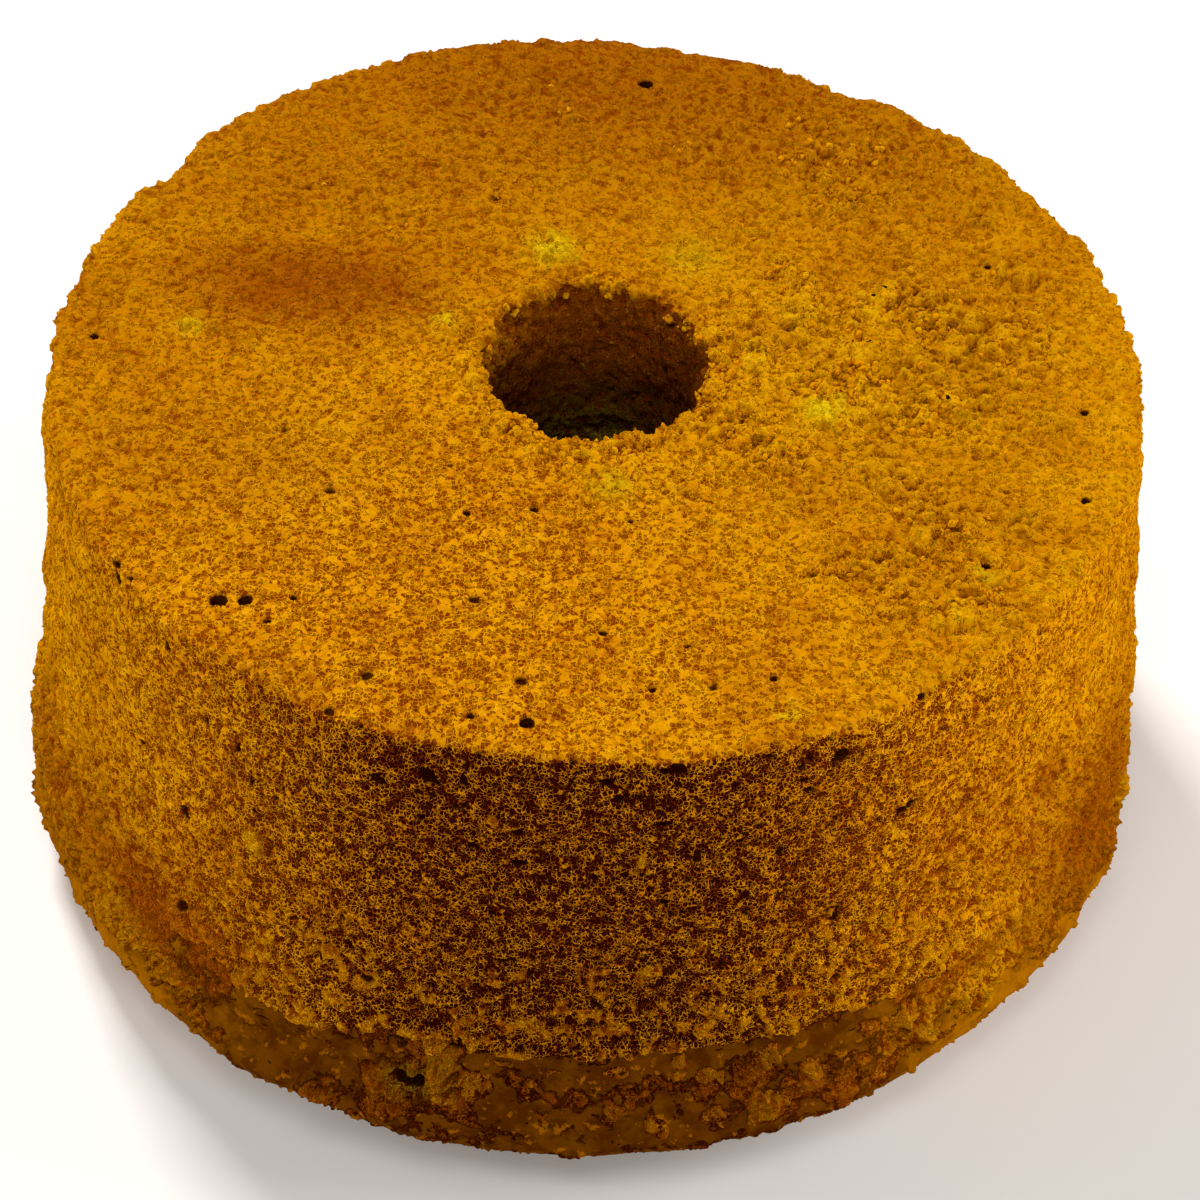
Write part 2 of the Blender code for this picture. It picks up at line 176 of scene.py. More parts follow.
# Large pores of the top face: x, y, width, depth
TOP_PORES = in_metres((0, 1, 2, 3), (
    (-57.1, -59.3, 3, 1.8), (-53, -59.1, 2.6, 1.6), (-8.3, -84, 2.6, 1.6), (7.1, 78.4, 3, 1.8),
    (-74.6, -52.3, 2.2, 1.3), (-71.9, -55.5, 1.6, 1), (-49.2, -63.6, 1.6, 1), (-45.6, -58.4, 1.5, 1),
    (-39.2, -82, 2.4, 1.1), (-17, -83, 1.7, 1), (2.8, -64.3, 1.7, 1), (10.6, -75.6, 1.6, 1),
    (29.1, -72.8, 1.6, 1), (-84.7, 1.3, 2, 1.1), (67.3, 28.1, 1.8, 1.1), (80.2, -30, 1.9, 1.1),
    (81.6, -8.6, 1.8, 1.1), (63.1, -45.9, 1.9, 1.2), (-9, -37, 1.8, 1), (-19.8, -38.1, 1.6, 1),
    (6.6, -38.5, 1.4, 0.9), (-18.6, 42.1, 2, 0.9),
))

# Large pores, slits and torn holes of the wall: angle, height, width, tallness, depth, turn
WALL_PORES = in_metres((1, 2, 3, 4), (
    (-54, 95, 3, 3, 2, 0), (35.6, 96, 3.2, 3, 2.2, 0), (9.4, 94.6, 2.8, 2.8, 2, 0),
    (-19.2, 87.3, 3.4, 2.6, 2.2, 0), (-14.5, 89.5, 3.6, 2.6, 2.2, -20), (25.2, 92, 3.2, 2.8, 2.2, 20),
    (33.3, 75.5, 4.2, 1.6, 2.6, 35), (-14.7, 24, 6, 3.6, 3, 10), (15.8, 10.5, 5, 5, 2.4, 0),
    (-11, 90.2, 2.2, 2.6, 1.6, 0), (-10, 77.7, 2.8, 1.8, 1.6, -15), (-14.8, 82.3, 1.8, 1.6, 1.3, 0),
    (-35.3, 80.4, 1.8, 2, 1.4, 0), (-32.7, 76.8, 2, 1.8, 1.4, 0), (-32.8, 69.6, 1.8, 2.2, 1.4, 0),
    (22.4, 93.2, 1.8, 1.8, 1.4, 0), (21.4, 91.6, 1.6, 1.6, 1.3, 0), (22.5, 86.5, 1.9, 1.7, 1.4, 0),
    (22, 88.7, 1.5, 1.5, 1.2, 0), (20.4, 78.7, 2.4, 1.9, 1.5, -25), (19.8, 74.7, 2, 1.9, 1.5, 0),
    (-48.1, 66.9, 1.6, 1.8, 1.2, 0), (-39.3, 81.8, 1.6, 1.8, 1.2, 0), (-41.1, 60.7, 1.8, 2, 1.2, 0),
    (-6, 54.9, 3.2, 1.7, 1.8, -5), (-5.3, 75, 2.2, 1.7, 1.6, 0), (-19.4, 44.5, 2.4, 1.8, 1.7, 30),
    (2.5, 92.6, 2.6, 1.8, 1.6, 0), (8, 84.7, 3.2, 2.2, 1.6, 10), (26.2, 57.8, 1.8, 5.2, 1.6, -25),
    (49.3, 30.4, 7, 3.4, 1.2, 20), (40.5, 32.4, 6, 2.2, 1.5, 35), (3.1, 44.9, 2.6, 1.8, 1.5, 0),
    (15.9, 51.5, 2.2, 1.7, 1.4, 0), (8.7, 67.5, 2.2, 1.7, 1.4, 0), (11.8, 76.4, 2.2, 1.7, 1.4, 0),
    (-56, 14.8, 2.2, 1.8, 1.4, 0), (-43, 16.8, 2.4, 2.2, 1.4, 0), (-34.4, 14.5, 2.2, 1.8, 1.3, 0),
))

# Torn parts of the top face: x, y, reach, how torn
TOP_TORN = in_metres((0, 1, 2), (
    (50, 8, 34, 1.25), (58, -42, 24, 1.2), (48, 48, 26, 1), (27, -24, 18, 1.2), (-46, 15, 22, 0.45),
    (-68, 5, 8, 0.5), (2, -31, 10, 0.55), (-8, 28, 9, 0.8), (-20, 60, 20, 0.25),
))
HOLE_EDGE_TORN = 1.15
HOLE_EDGE_REACH = 8.0 * MM
HOLE_TORN = 0.40
HOLE_LIGHT = 0.35
HOLE_LIGHT_ANGLE = -100.0
HOLE_LIGHT_SPREAD = 38.0
RIM_TORN = 0.60
RIM_TORN_FROM = -60.0 * MM
SOFT_TORN = 0.55
TORN_MOST = 1.3
TORN_PATCH_PITCH = 14.0 * MM
LOW_WALL_TORN = 40.0 * MM

# Where the top face's foam shows best: x, y, reach, how open there and elsewhere
TOP_FOAM = (-25.0 * MM, -70.0 * MM, 75.0 * MM, 0.39, 0.06)

# Browner parts of the top face: x, y, half width, half depth, how brown. The wide patch over the back half
# is painted shade that darkens the back.
TOP_STAINS_AND_SHADE = in_metres((0, 1, 2, 3), (
    (-50, 17, 27, 15, 0.85), (52, 30, 34, 10, 0.22), (70, 50, 14, 12, 0.3), (0, 88, 95, 54, 0.62),
    (-45, 48, 62, 48, 0.38), (-80, 10, 20, 30, 0.3), (-66, -24, 34, 30, 0.38), (-10, -58, 75, 42, 0.15),
    (-30, -20, 26, 14, 0.16), (25, 70, 50, 16, 0.18), (-18, -36, 10, 5, 0.2), (35, -32, 16, 9, 0.28),
))

# Yellow and greenish spots of the top face: x, y, reach, how yellow, how green
TOP_SPOTS = in_metres((0, 1, 2), (
    (-8.4, 28.6, 3.8, 0.85, 0), (-26, 9, 2.2, 0.6, 0), (-68.6, 4.8, 2, 0.45, 0),
    (38.2, -11, 3.8, 0.85, 0.05), (63, -48.2, 2.4, 0.45, 0.1), (31.8, -79.8, 1.6, 0.6, 0),
    (16, 28.5, 5, 0.22, 0.15), (3.4, -30.8, 3.4, 0.25, 0.4), (27, 2, 4, 0.25, 0), (34, 12.5, 5, 0.15, 0),
    (-46, -30, 17, 0.08, 0), (44, -6, 24, 0.07, 0),
))

# Browner parts of the wall: angle, height, half width, half height, how brown. The wide patch over the front
# of the wall is partly browning and partly painted shade.
WALL_STAINS_AND_SHADE = in_metres((1, 2, 3), (
    (0, 70, 62, 48, 0.42), (-70, 42, 7, 9, 0.5), (-45, 76, 3.5, 9, 0.45), (-47, 55, 4, 6, 0.45),
    (-31, 74, 3, 6, 0.4), (-45, 34, 30, 12, 0.78), (-66, 32, 26, 13, 0.65), (66, 34, 26, 22, 0.8),
    (40, 62, 20, 24, 0.36), (55, 57, 5, 8, 0.65), (51, 47, 7, 5, 0.55), (44, 31, 14, 5, 0.65),
    (72, 30, 14, 12, 0.25), (130, 44, 30, 12, 0.35), (-150, 74, 22, 8, 0.35),
))

# Where the wall's foam shows best, in front and behind: angle, spread, how open; and how open elsewhere
WALL_FOAM = ((-1.0, 41.0, 1.0), (170.0, 60.0, 0.6))
WALL_FOAM_LEAST = 0.18
BAND_CLOSED = 0.25
HOLE_FOAM = 0.60

# How ragged the edges of pores, blobs and spots are
RAGGED = 0.7 * MM
RAGGED_ACROSS = 3.6 * MM
RAGGED_UP = 4.3 * MM
RAGGED_SPOTS = 2.4 * MM

# The band is dark and plated in front and golden at the sides, where it starts by degrees
BAND_FRONT = -2.0
BAND_FRONT_HALF = 37.0
BAND_FRONT_EDGE = 24.0
SIDE_CRUST_START = 27.0 * MM
SIDE_CRUST_FULL = 19.0 * MM
SIDE_STAIN = 0.45

# Smooth plates of crust on the band: angle, height, half width, half height, how smooth
BAND_SMOOTHNESS = 0.50
BASE_SMOOTH_HEIGHT = 9.0 * MM
BAND_PLATES = in_metres((1, 2, 3), (
    (-28, 21, 11, 8, 0.9), (-44, 27, 14, 4, 0.4), (10, 30, 34, 2.6, 0.6), (2, 18, 22, 7, 0.25),
    (60, 22, 14, 5, 0.3), (140, 20, 30, 8, 0.4), (-130, 22, 30, 7, 0.4),
))

# Torn crumb that has come through the browned band: angle, height, half width, half height, share
BAND_TORN = in_metres((1, 2, 3), (
    (-11.5, 28, 6, 7, 1), (-17, 20, 5, 6, 0.9), (-24, 16, 7, 5, 0.7), (-44, 20, 13, 5, 0.6),
    (17.5, 26, 5, 5, 0.8), (6, 24, 16, 3, 0.35), (24, 21, 9, 3, 0.7), (40, 22, 12, 5, 0.5),
    (100, 22, 14, 5, 0.6), (160, 26, 18, 4, 0.7), (-110, 24, 12, 5, 0.6), (-158, 19, 10, 4, 0.5),
))

# Greenish crumb: in the hole, at angle and height with its reach, and by the torn hole of the band
HOLE_GREENS = in_metres((1, 2), (
    (176, 62, 7, 0.8), (-160, 66, 5, 0.6), (150, 60, 5, 0.5),
))
BAND_GREEN = (-14.7, 24.5 * MM, 3.4 * MM, 0.9)

# Crumbs that fill the groove, less in front, where it shows as a dark line
GROOVE_FILL = 1.4 * MM
GROOVE_FILL_REACH = 1.8 * MM
GROOVE_OPEN_ANGLE = 14.0
GROOVE_OPEN_SPREAD = 34.0
GROOVE_SOFTNESS = 0.9 * MM
HEAP_PITCH = 9.0 * MM
BAND_STAIN = 0.80

# Pitches of the clouds that vary the crumb and the crust
EDGE_PITCH = 4.5 * MM
PATCH_PITCH = 15.0 * MM
CLUSTER_PITCH = 1.7 * MM
DUST_PITCH = 0.50 * MM
SCORCH_PITCH = 5.0 * MM
SCAB_PITCH = 2.4 * MM
SCAB_HEIGHT = 0.7 * MM
CRACK_PITCH = 1.6 * MM

# How finely the skin is cut
OUTER_COLUMNS = 1536
MIDDLE_COLUMNS = OUTER_COLUMNS // 2
INNER_COLUMNS = OUTER_COLUMNS // 4
MIDDLE_RADIUS = 52.0 * MM
INNER_RADIUS = 26.0 * MM
TOP_STEP = 0.34 * MM
WALL_STEP = 0.38 * MM
BAND_STEP = 0.44 * MM
BASE_STEP = 0.60 * MM
UNDER_STEP = 1.00 * MM
HOLE_STEP = 0.50 * MM
NORMAL_STEP = 0.15 * MM

# Torn crumbs lie on a coarser copy of the top, which goes this far down the hole
CRUMB_BED_STEP = 0.9 * MM
CRUMB_REACH_DOWN = 2.0 * MM
CRUMB_CELLS = 64
CRUMB_CELL_SHARE = 0.94
CRUMB_BEND_PITCH = 1.1 * MM
CRUMB_BEND = 1.5 * MM

QUARTERS = (("front", -45.0), ("right", 45.0), ("back", 135.0), ("left", 225.0))

# Camera: for a frame 1200 pixels square, which is not set here, 36 mm wide, tilted a little
CAMERA_RISE = 45.09
CAMERA_DISTANCE = 608.2 * MM
CAMERA_LENS = 101.27
CAMERA_SENSOR = 36.0
CAMERA_ROLL = 2.07
CAMERA_TARGET = (3.06 * MM, 0.69 * MM, 40.26 * MM)

# Lights: name, place, how wide, power, tint
MIDDLE = (0.0, 0.0, 0.05)
WARM = (1.0, 0.98, 0.95)
WARMER = (1.0, 0.97, 0.93)
LIGHTS = (
    ("back light", (-0.45, 0.75, 1.05), 0.28, 15.2, WARM),
    ("top light", (-0.05, -0.32, 0.80), 0.30, 1.3, WARM),
    ("front light", (0.05, -0.80, 0.42), 0.35, 3.0, WARM),
    ("left light", (-0.80, 0.05, 0.30), 0.40, 2.2, WARMER),
    ("right light", (0.80, 0.05, 0.30), 0.40, 5.2, WARMER),
)
ROOM_STRENGTH = 0.13
FLOOR_HALF = 3.0


def length(name, description, value):
    """A length that the user can change, given in millimetres."""
    return FloatProperty(name=name, description=description, default=value * MM, unit="LENGTH")


class CakeSizes(bpy.types.PropertyGroup):
    """Sizes of the crumb's pores and clumps."""

    pore_pitch: length("Pore pitch", "From one fine pore to the next", 0.70)
    pore_depth: length("Pore depth", "Depth of the fine pores", 0.40)
    bubble_pitch: length("Bubble pitch", "From one bubble to the next", 2.3)
    bubble_depth: length("Bubble depth", "Depth of the bubbles", 0.9)
    cavity_pitch: length("Cavity pitch", "From one cavity to the next", 8.0)
    cavity_depth: length("Cavity depth", "Depth of the cavities", 1.6)
    clump_pitch: length("Clump pitch", "Width of the torn clumps", 3.2)
    clump_height: length("Clump height", "How high torn clumps stand", 1.0)
    grain_pitch: length("Grain pitch", "Width of the crumb's grains", 1.7)
    grain_height: length("Grain height", "Height of the crumb's grains", 1.05)
    bulge_pitch: length("Bulge pitch", "Width of the soft bulges", 5.5)
    bulge_height: length("Bulge height", "Height of the soft bulges", 0.55)
    crumb_density: FloatProperty(
        name="Crumb density", description="Torn crumbs on a square metre of torn skin", default=620000.0
    )
    crumb_width: length("Crumb width", "Width of the widest torn crumb", 2.6)
    seed: IntProperty(name="Seed", description="Where the torn crumbs fall", default=7)


def colour(name, description, value):
    """A colour that the user can change."""
    return FloatVectorProperty(
        name=name, description=description, default=value, subtype="COLOR", size=3, min=0.0, max=1.0
    )


class CakeColours(bpy.types.PropertyGroup):
    """Colours of the cake and the stage."""

    golden: colour("Golden crumb", "Ridges between the pores", (0.74, 0.290, 0.0008))
    yellow: colour("Yellow crumb", "Fresh torn crumb", (0.80, 0.400, 0.0020))
    # Painted highlight: pale glints painted on the thin edges of the strands
    painted_glint: colour("Pale crumb", "Thin bright edges of the strands", (0.90, 0.600, 0.1000))
    # Painted shade: the dark colour of the pores stands in for the shade inside them
    pore: colour("Pore", "Walls inside a fine pore", (0.25, 0.040, 0.0003))
    # Painted shade: near-black for the bottoms of pores and bubbles and for the gaps and cracks of the crust
    deep_shade: colour("Deep pore", "Bottom of a deep pore", (0.030, 0.0012, 0.0002))
    # Browned crumb; also the colour of the painted shade in the grains' valleys, over the back of the top
    # and over the front of the wall
    stain: colour("Brown crumb", "Browned crumb", (0.34, 0.078, 0.0006))
    crust: colour("Crust", "Smooth browned band at the foot", (0.130, 0.037, 0.0005))
    dark_crust: colour("Dark crust", "Darkest browning of the band", (0.060, 0.012, 0.0003))
    side_crust: colour("Side crust", "Golden brown crust of the sides", (0.38, 0.130, 0.0006))
    low_crust: colour("Low crust", "Smooth crust round the base", (0.225, 0.080, 0.0006))
    scab: colour("Scab", "Flakes of crust that stand on the band", (0.36, 0.110, 0.0006))
    # Painted shade: greenish crumb darkened for the depth of the hole
    hole_shade: colour("Deep hole", "Dark, greenish crumb down the hole", (0.115, 0.066, 0.0010))
    green: colour("Green crumb", "Greenish crumb", (0.300, 0.290, 0.0030))
    fresh: colour("Fresh crumb", "Palest, lemon-yellow torn crumb", (0.86, 0.600, 0.0050))
    # Browned wall of the hole, darkened partly as painted shade
    hole: colour("Hole", "Browned wall of the hole", (0.220, 0.052, 0.0006))
    floor: colour("Floor", "Pale studio floor", (0.86, 0.86, 0.85))


def cone_radius(height):
    """Radius of the wall's plain cone, which widens towards the foot."""
    top = HEIGHT - RIM_ROUND
    share = (top - height) / (top - WIDEST_HEIGHT)
    return TOP_RADIUS + (WIDEST_RADIUS - TOP_RADIUS) * share


def arc(centre_radius, centre_height, across, tall, start, end, rows=24):
    """Points of an elliptic arc in the profile's plane."""
    turns = np.radians(np.linspace(start, end, rows + 1))
    points = zip(np.cos(turns), np.sin(turns))
    return [(centre_radius + across * level, centre_height + tall * upright) for level, upright in points]


def turned_outline():
    """The stretches of the cake's outline by name: down the outer side and back up the hole."""
    lip = GROOVE_HEIGHT + GROOVE_LIP
    band = GROOVE_HEIGHT - BAND_DROP
    foot = HOLE_FOOT_ROUND
    hole_top = HEIGHT - HOLE_TOP_ROUND
    bend = HOLE_TOP_RADIUS + HOLE_TOP_ROUND
    rim = (TOP_RADIUS - RIM_ROUND, HEIGHT)
    groove = (cone_radius(GROOVE_HEIGHT) - GROOVE_DEPTH, GROOVE_HEIGHT)
    across = WIDEST_RADIUS - FOOT_RADIUS
    hole_foot = (HOLE_FOOT_RADIUS + foot, 0.0)
    return {
        "top": [(bend, HEIGHT), rim],
        "rim": arc(rim[0], HEIGHT - RIM_ROUND, RIM_ROUND, RIM_ROUND, 90, 0),
        "wall": [(TOP_RADIUS, HEIGHT - RIM_ROUND), (cone_radius(lip), lip)],
        "lip": [(cone_radius(lip), lip), groove],
        "ledge": [groove, (cone_radius(band) - BAND_INSET, band)],
        "band": [(cone_radius(band) - BAND_INSET, band), (WIDEST_RADIUS, WIDEST_HEIGHT)],
        "base": arc(FOOT_RADIUS, WIDEST_HEIGHT, across, WIDEST_HEIGHT, 0, -90, 64),
        "under": [(FOOT_RADIUS, 0.0), hole_foot],
        "hole foot": arc(hole_foot[0], foot, foot, foot, 270, 180),
        "hole": [(HOLE_FOOT_RADIUS, foot), (HOLE_TOP_RADIUS, hole_top)],
        "hole top": arc(bend, hole_top, HOLE_TOP_ROUND, HOLE_TOP_ROUND, 180, 90),
    }


class Outline:
    """The whole outline by the distance along it, with where each stretch starts and ends."""

    def __init__(self):
        points = []
        self.start = {}
        self.end = {}
        travelled = 0.0
        distances = []
        for name, stretch in turned_outline().items():
            self.start[name] = travelled
            for point in stretch:
                if points:
                    travelled += math.dist(points[-1], point)
                points.append(point)
                distances.append(travelled)
            self.end[name] = travelled
        self.distances = np.array(distances)
        self.radii, self.heights = np.array(points).T
        self.length = travelled

    def at(self, distance):
        """Plain radius and height at each distance along the outline."""
        distance = distance % self.length
        radius = np.interp(distance, self.distances, self.radii)
        return radius, np.interp(distance, self.distances, self.heights)


OUTLINE = Outline()


def waves(x, y, z, pitch, turn):
    """Smooth unevenness between about -1 and 1: crossed waves of roughly one pitch."""
    total = np.zeros_like(x)
    for number in range(WAVES):
        yaw = turn + number * GOLDEN_ANGLE
        climb = math.sin(turn + 1.9 * number)
        level = math.sqrt(1.0 - climb * climb)
        along = (x * math.cos(yaw) + y * math.sin(yaw)) * level + z * climb
        stretch = 0.75 + 0.5 * number / WAVES
        total += np.sin(math.tau * stretch * along / pitch + number * number)
    return total / math.sqrt(WAVES)


def hump(distance, half):
    """One in the middle, falling smoothly to nothing a little past half."""
    return np.exp(-((distance / half) ** 2))


def rising(value, low, high):
    """Zero below low, one above high, with a soft step between."""
    step = np.clip((value - low) / (high - low), 0.0, 1.0)
    return step * step * (3 - 2 * step)


def plateau(distance, half, edge):
    """One inside half, nothing beyond it, with a soft step of width edge between."""
    return rising(-np.abs(distance), -half - edge / 2, edge / 2 - half)


def turn_between(angle, centre):
    """Signed turn in degrees from centre to each angle."""
    return (angle - centre + 180.0) % 360.0 - 180.0


def around(angle, centre, radius):
    """Distance round the cake, at this radius, from the angle centre to each angle."""
    return np.radians(turn_between(angle, centre)) * radius


def flat_place(angle, radius):
    """x and y, from the hole's axis, of each angle and radius."""
    return radius * np.sin(np.radians(angle)), -radius * np.cos(np.radians(angle))


def groove_shift(angle):
    """How far the groove lies above its mean height at each angle."""
    wave = GROOVE_WAVE * np.cos(np.radians(2 * angle))
    sag = GROOVE_SAG * hump(turn_between(angle, GROOVE_SAG_ANGLE), GROOVE_SAG_SPREAD)
    return wave - sag


def lobes(angle):
    """How far the cake is out of round at each angle."""
    total = np.zeros_like(angle)
    for count, depth, first in OUT_OF_ROUND:
        total += depth * np.cos(np.radians(count * (angle - first)))
    return total


def wall_relief(angle, height):
    """How far the wall's surface stands out from the plain cone."""
    x, y = flat_place(angle, cone_radius(height))
    out = WALL_LUMP_DEPTH * waves(x, y, height, WALL_LUMP_PITCH, 0.4)
    out += WALL_CRAG_DEPTH * waves(x, y, height, WALL_CRAG_PITCH, 2.3)
    for centre, level, half_width, half_height, depth in WALL_PATCHES:
        along = around(angle, centre, WIDEST_RADIUS)
        round_it = plateau(along, half_width, half_width * 0.6)
        out += depth * round_it * plateau(height - level, half_height, 5 * MM)
    return out


def chip_relief(angle, from_rim):
    """How far in and how far down each point of the rim is chipped."""
    inwards = np.zeros_like(angle)
    down = np.zeros_like(angle)
    for centre, half_width, depth, drop in RIM_CHIPS:
        amount = hump(around(angle, centre, TOP_RADIUS), half_width) * hump(from_rim, RIM_REACH)
        inwards += depth * amount
        down += drop * amount
    return inwards, down


def worked_place(angle, distance):
    """Where the uneven skin lies, for each angle and distance along the outline."""
    plain, z = OUTLINE.at(distance)
    x, y = flat_place(angle, plain)
    outside = plain > OUTER_SIDE
    on_top = rising(z, HEIGHT - RIM_ROUND, HEIGHT)
    in_hole = 1.0 - rising(plain, HOLE_TOP_RADIUS, HOLE_TOP_RADIUS + HOLE_TOP_ROUND)
    near_groove = plateau(z - GROOVE_HEIGHT, GROOVE_REACH / 2, GROOVE_REACH / 2)
    height = z + groove_shift(angle) * near_groove * outside
    cone_step = (cone_radius(height) - cone_radius(z)) * near_groove * outside

    out = lobes(angle) * np.clip(plain / TOP_RADIUS, 0.0, 1.0) ** 2 * z / HEIGHT
    on_wall = rising(plain / cone_radius(z), *WALL_STARTS) * outside
    out += wall_relief(angle, height) * np.clip(z / WIDEST_HEIGHT, 0.0, 1.0) * on_wall
    out += HOLE_CRAG_DEPTH * waves(x, y, z, HOLE_CRAG_PITCH, 1.1) * in_hole
    from_rim = np.hypot(np.maximum(TOP_RADIUS - plain, 0.0), HEIGHT - z)
    inwards, down = chip_relief(angle, from_rim)
    radius = plain + out + cone_step - inwards * outside
    lumps = TOP_LUMP_DEPTH * waves(x, y, z, TOP_LUMP_PITCH, 3.0)
    height = height - down * outside + lumps * on_top

    turn = np.radians(angle)
    x = radius * np.sin(turn) + LEAN * z / HEIGHT + AXIS_X
    return np.stack([x, AXIS_Y - radius * np.cos(turn), height], -1)


def outward_normals(angle, distance):
    """Unit normals of the worked skin, found from places a short step away each way."""
    plain, _ = OUTLINE.at(distance)
    turn = np.degrees(NORMAL_STEP / plain)
    round_it = worked_place(angle + turn, distance) - worked_place(angle - turn, distance)
    along = worked_place(angle, distance + NORMAL_STEP) - worked_place(angle, distance - NORMAL_STEP)
    normal = np.cross(along, round_it)
    return normal / np.linalg.norm(normal, axis=-1, keepdims=True)


def oval(across, up, width, tallness, turn):
    """Height of a half ellipsoid, from 0 at its edge to 1 in the middle, turned by turn degrees."""
    lean = math.radians(turn)
    first = (across * math.cos(lean) + up * math.sin(lean)) / (width / 2)
    second = (up * math.cos(lean) - across * math.sin(lean)) / (tallness / 2)
    return np.sqrt(np.clip(1.0 - first**2 - second**2, 0.0, 1.0))


def soft_patches(rows, across, up):
    """The strongest of a table's patches at each place: place, half width, half height, share.

    across gives the distance from a patch's middle, which on the wall runs round the cake.
    """
    most = 0.0
    for centre, level, half_width, half_height, amount in rows:
        far = np.hypot(across(centre) / half_width, (up - level) / half_height)
        most = np.maximum(most, amount * hump(far, 1.0))
    return most


def top_foam(x, y):
    """How near each place is to the part of the top face where the foam shows best."""
    foam_x, foam_y, reach, _, _ = TOP_FOAM
    return hump(np.hypot(x - foam_x, y - foam_y), reach)


def top_marks(x, y, radius):
    """How the top face is torn, stained, painted with shade and pitted at each place."""
    torn = SOFT_TORN * (1.0 - top_foam(x, y))
    torn = np.maximum(torn, HOLE_EDGE_TORN * hump(radius - HOLE_TOP_RADIUS, HOLE_EDGE_REACH))
    torn = np.maximum(torn, RIM_TORN * hump(TOP_RADIUS - radius, RIM_REACH) * rising(y, RIM_TORN_FROM, 0.0))
    for spot_x, spot_y, reach, amount in TOP_TORN:
        torn = np.maximum(torn, amount * hump(np.hypot(x - spot_x, y - spot_y), reach))
    # Stains, with a wide patch of painted shade over the back
    stain = soft_patches(TOP_STAINS_AND_SHADE, lambda middle: x - middle, y)
    yellow = np.zeros_like(x)
    green = np.zeros_like(x)
    ragged = RAGGED * waves(x, y, np.zeros_like(x), RAGGED_SPOTS, 4.1)
    for spot_x, spot_y, reach, how_yellow, how_green in TOP_SPOTS:
        near = hump(np.abs(np.hypot(x - spot_x, y - spot_y) + ragged * 1.4), reach)
        yellow = np.maximum(yellow, how_yellow * near)
        green = np.maximum(green, how_green * near)
    pit = np.zeros_like(x)
    for spot_x, spot_y, width, depth in TOP_PORES:
        pit = np.maximum(pit, depth * oval(x - spot_x, y - spot_y, width, width, 0.0))
    lift = np.zeros_like(x)
    for spot_x, spot_y, length, width, rise, turn in TOP_CLUMPS:
        lift = np.maximum(lift, rise * oval(x - spot_x, y - spot_y, length, width, turn))
    return {"torn": torn, "stain": stain, "yellow": yellow, "green": green, "pit": pit, "lift": lift}


def wall_marks(angle, height):
    """How the wall and the band are torn, stained, partly painted with shade and pitted at each place."""
    radius = cone_radius(height)
    x, y = flat_place(angle, radius)
    sway = RAGGED * waves(x, y, height, RAGGED_ACROSS, 0.7)
    climb = RAGGED * waves(x, y, height, RAGGED_UP, 2.9)
    pit = np.zeros_like(angle)
    for centre, level, width, tallness, depth, turn in WALL_PORES:
        along = around(angle, centre, radius) + 0.5 * sway
        pit = np.maximum(pit, depth * oval(along, height - level + 0.5 * climb, width, tallness, turn))
    lift = np.zeros_like(angle)
    for centre, level, width, tallness, rise in WALL_FLAKES + WALL_BLOBS:
        along = around(angle, centre, radius) + sway
        lift = np.maximum(lift, rise * oval(along, height - level + climb, width, tallness, 0.0))
    centre, level, reach, amount = BAND_GREEN
    green = amount * hump(np.hypot(around(angle, centre, radius), height - level), reach)
    foamy = np.zeros_like(angle)
    for centre, spread, share in WALL_FOAM:
        foamy = np.maximum(foamy, share * hump(turn_between(angle, centre), spread))
    openness = WALL_FOAM_LEAST + (1.0 - WALL_FOAM_LEAST) * foamy
    marks = {"pit": pit, "lift": lift, "green": green, "open": openness}
    # Stains, of which the wide patch over the front of the wall is partly painted shade
    for name, rows in (("stain", WALL_STAINS_AND_SHADE), ("plates", BAND_PLATES), ("through", BAND_TORN)):
        marks[name] = soft_patches(rows, lambda middle: around(angle, middle, radius), height)
    return marks


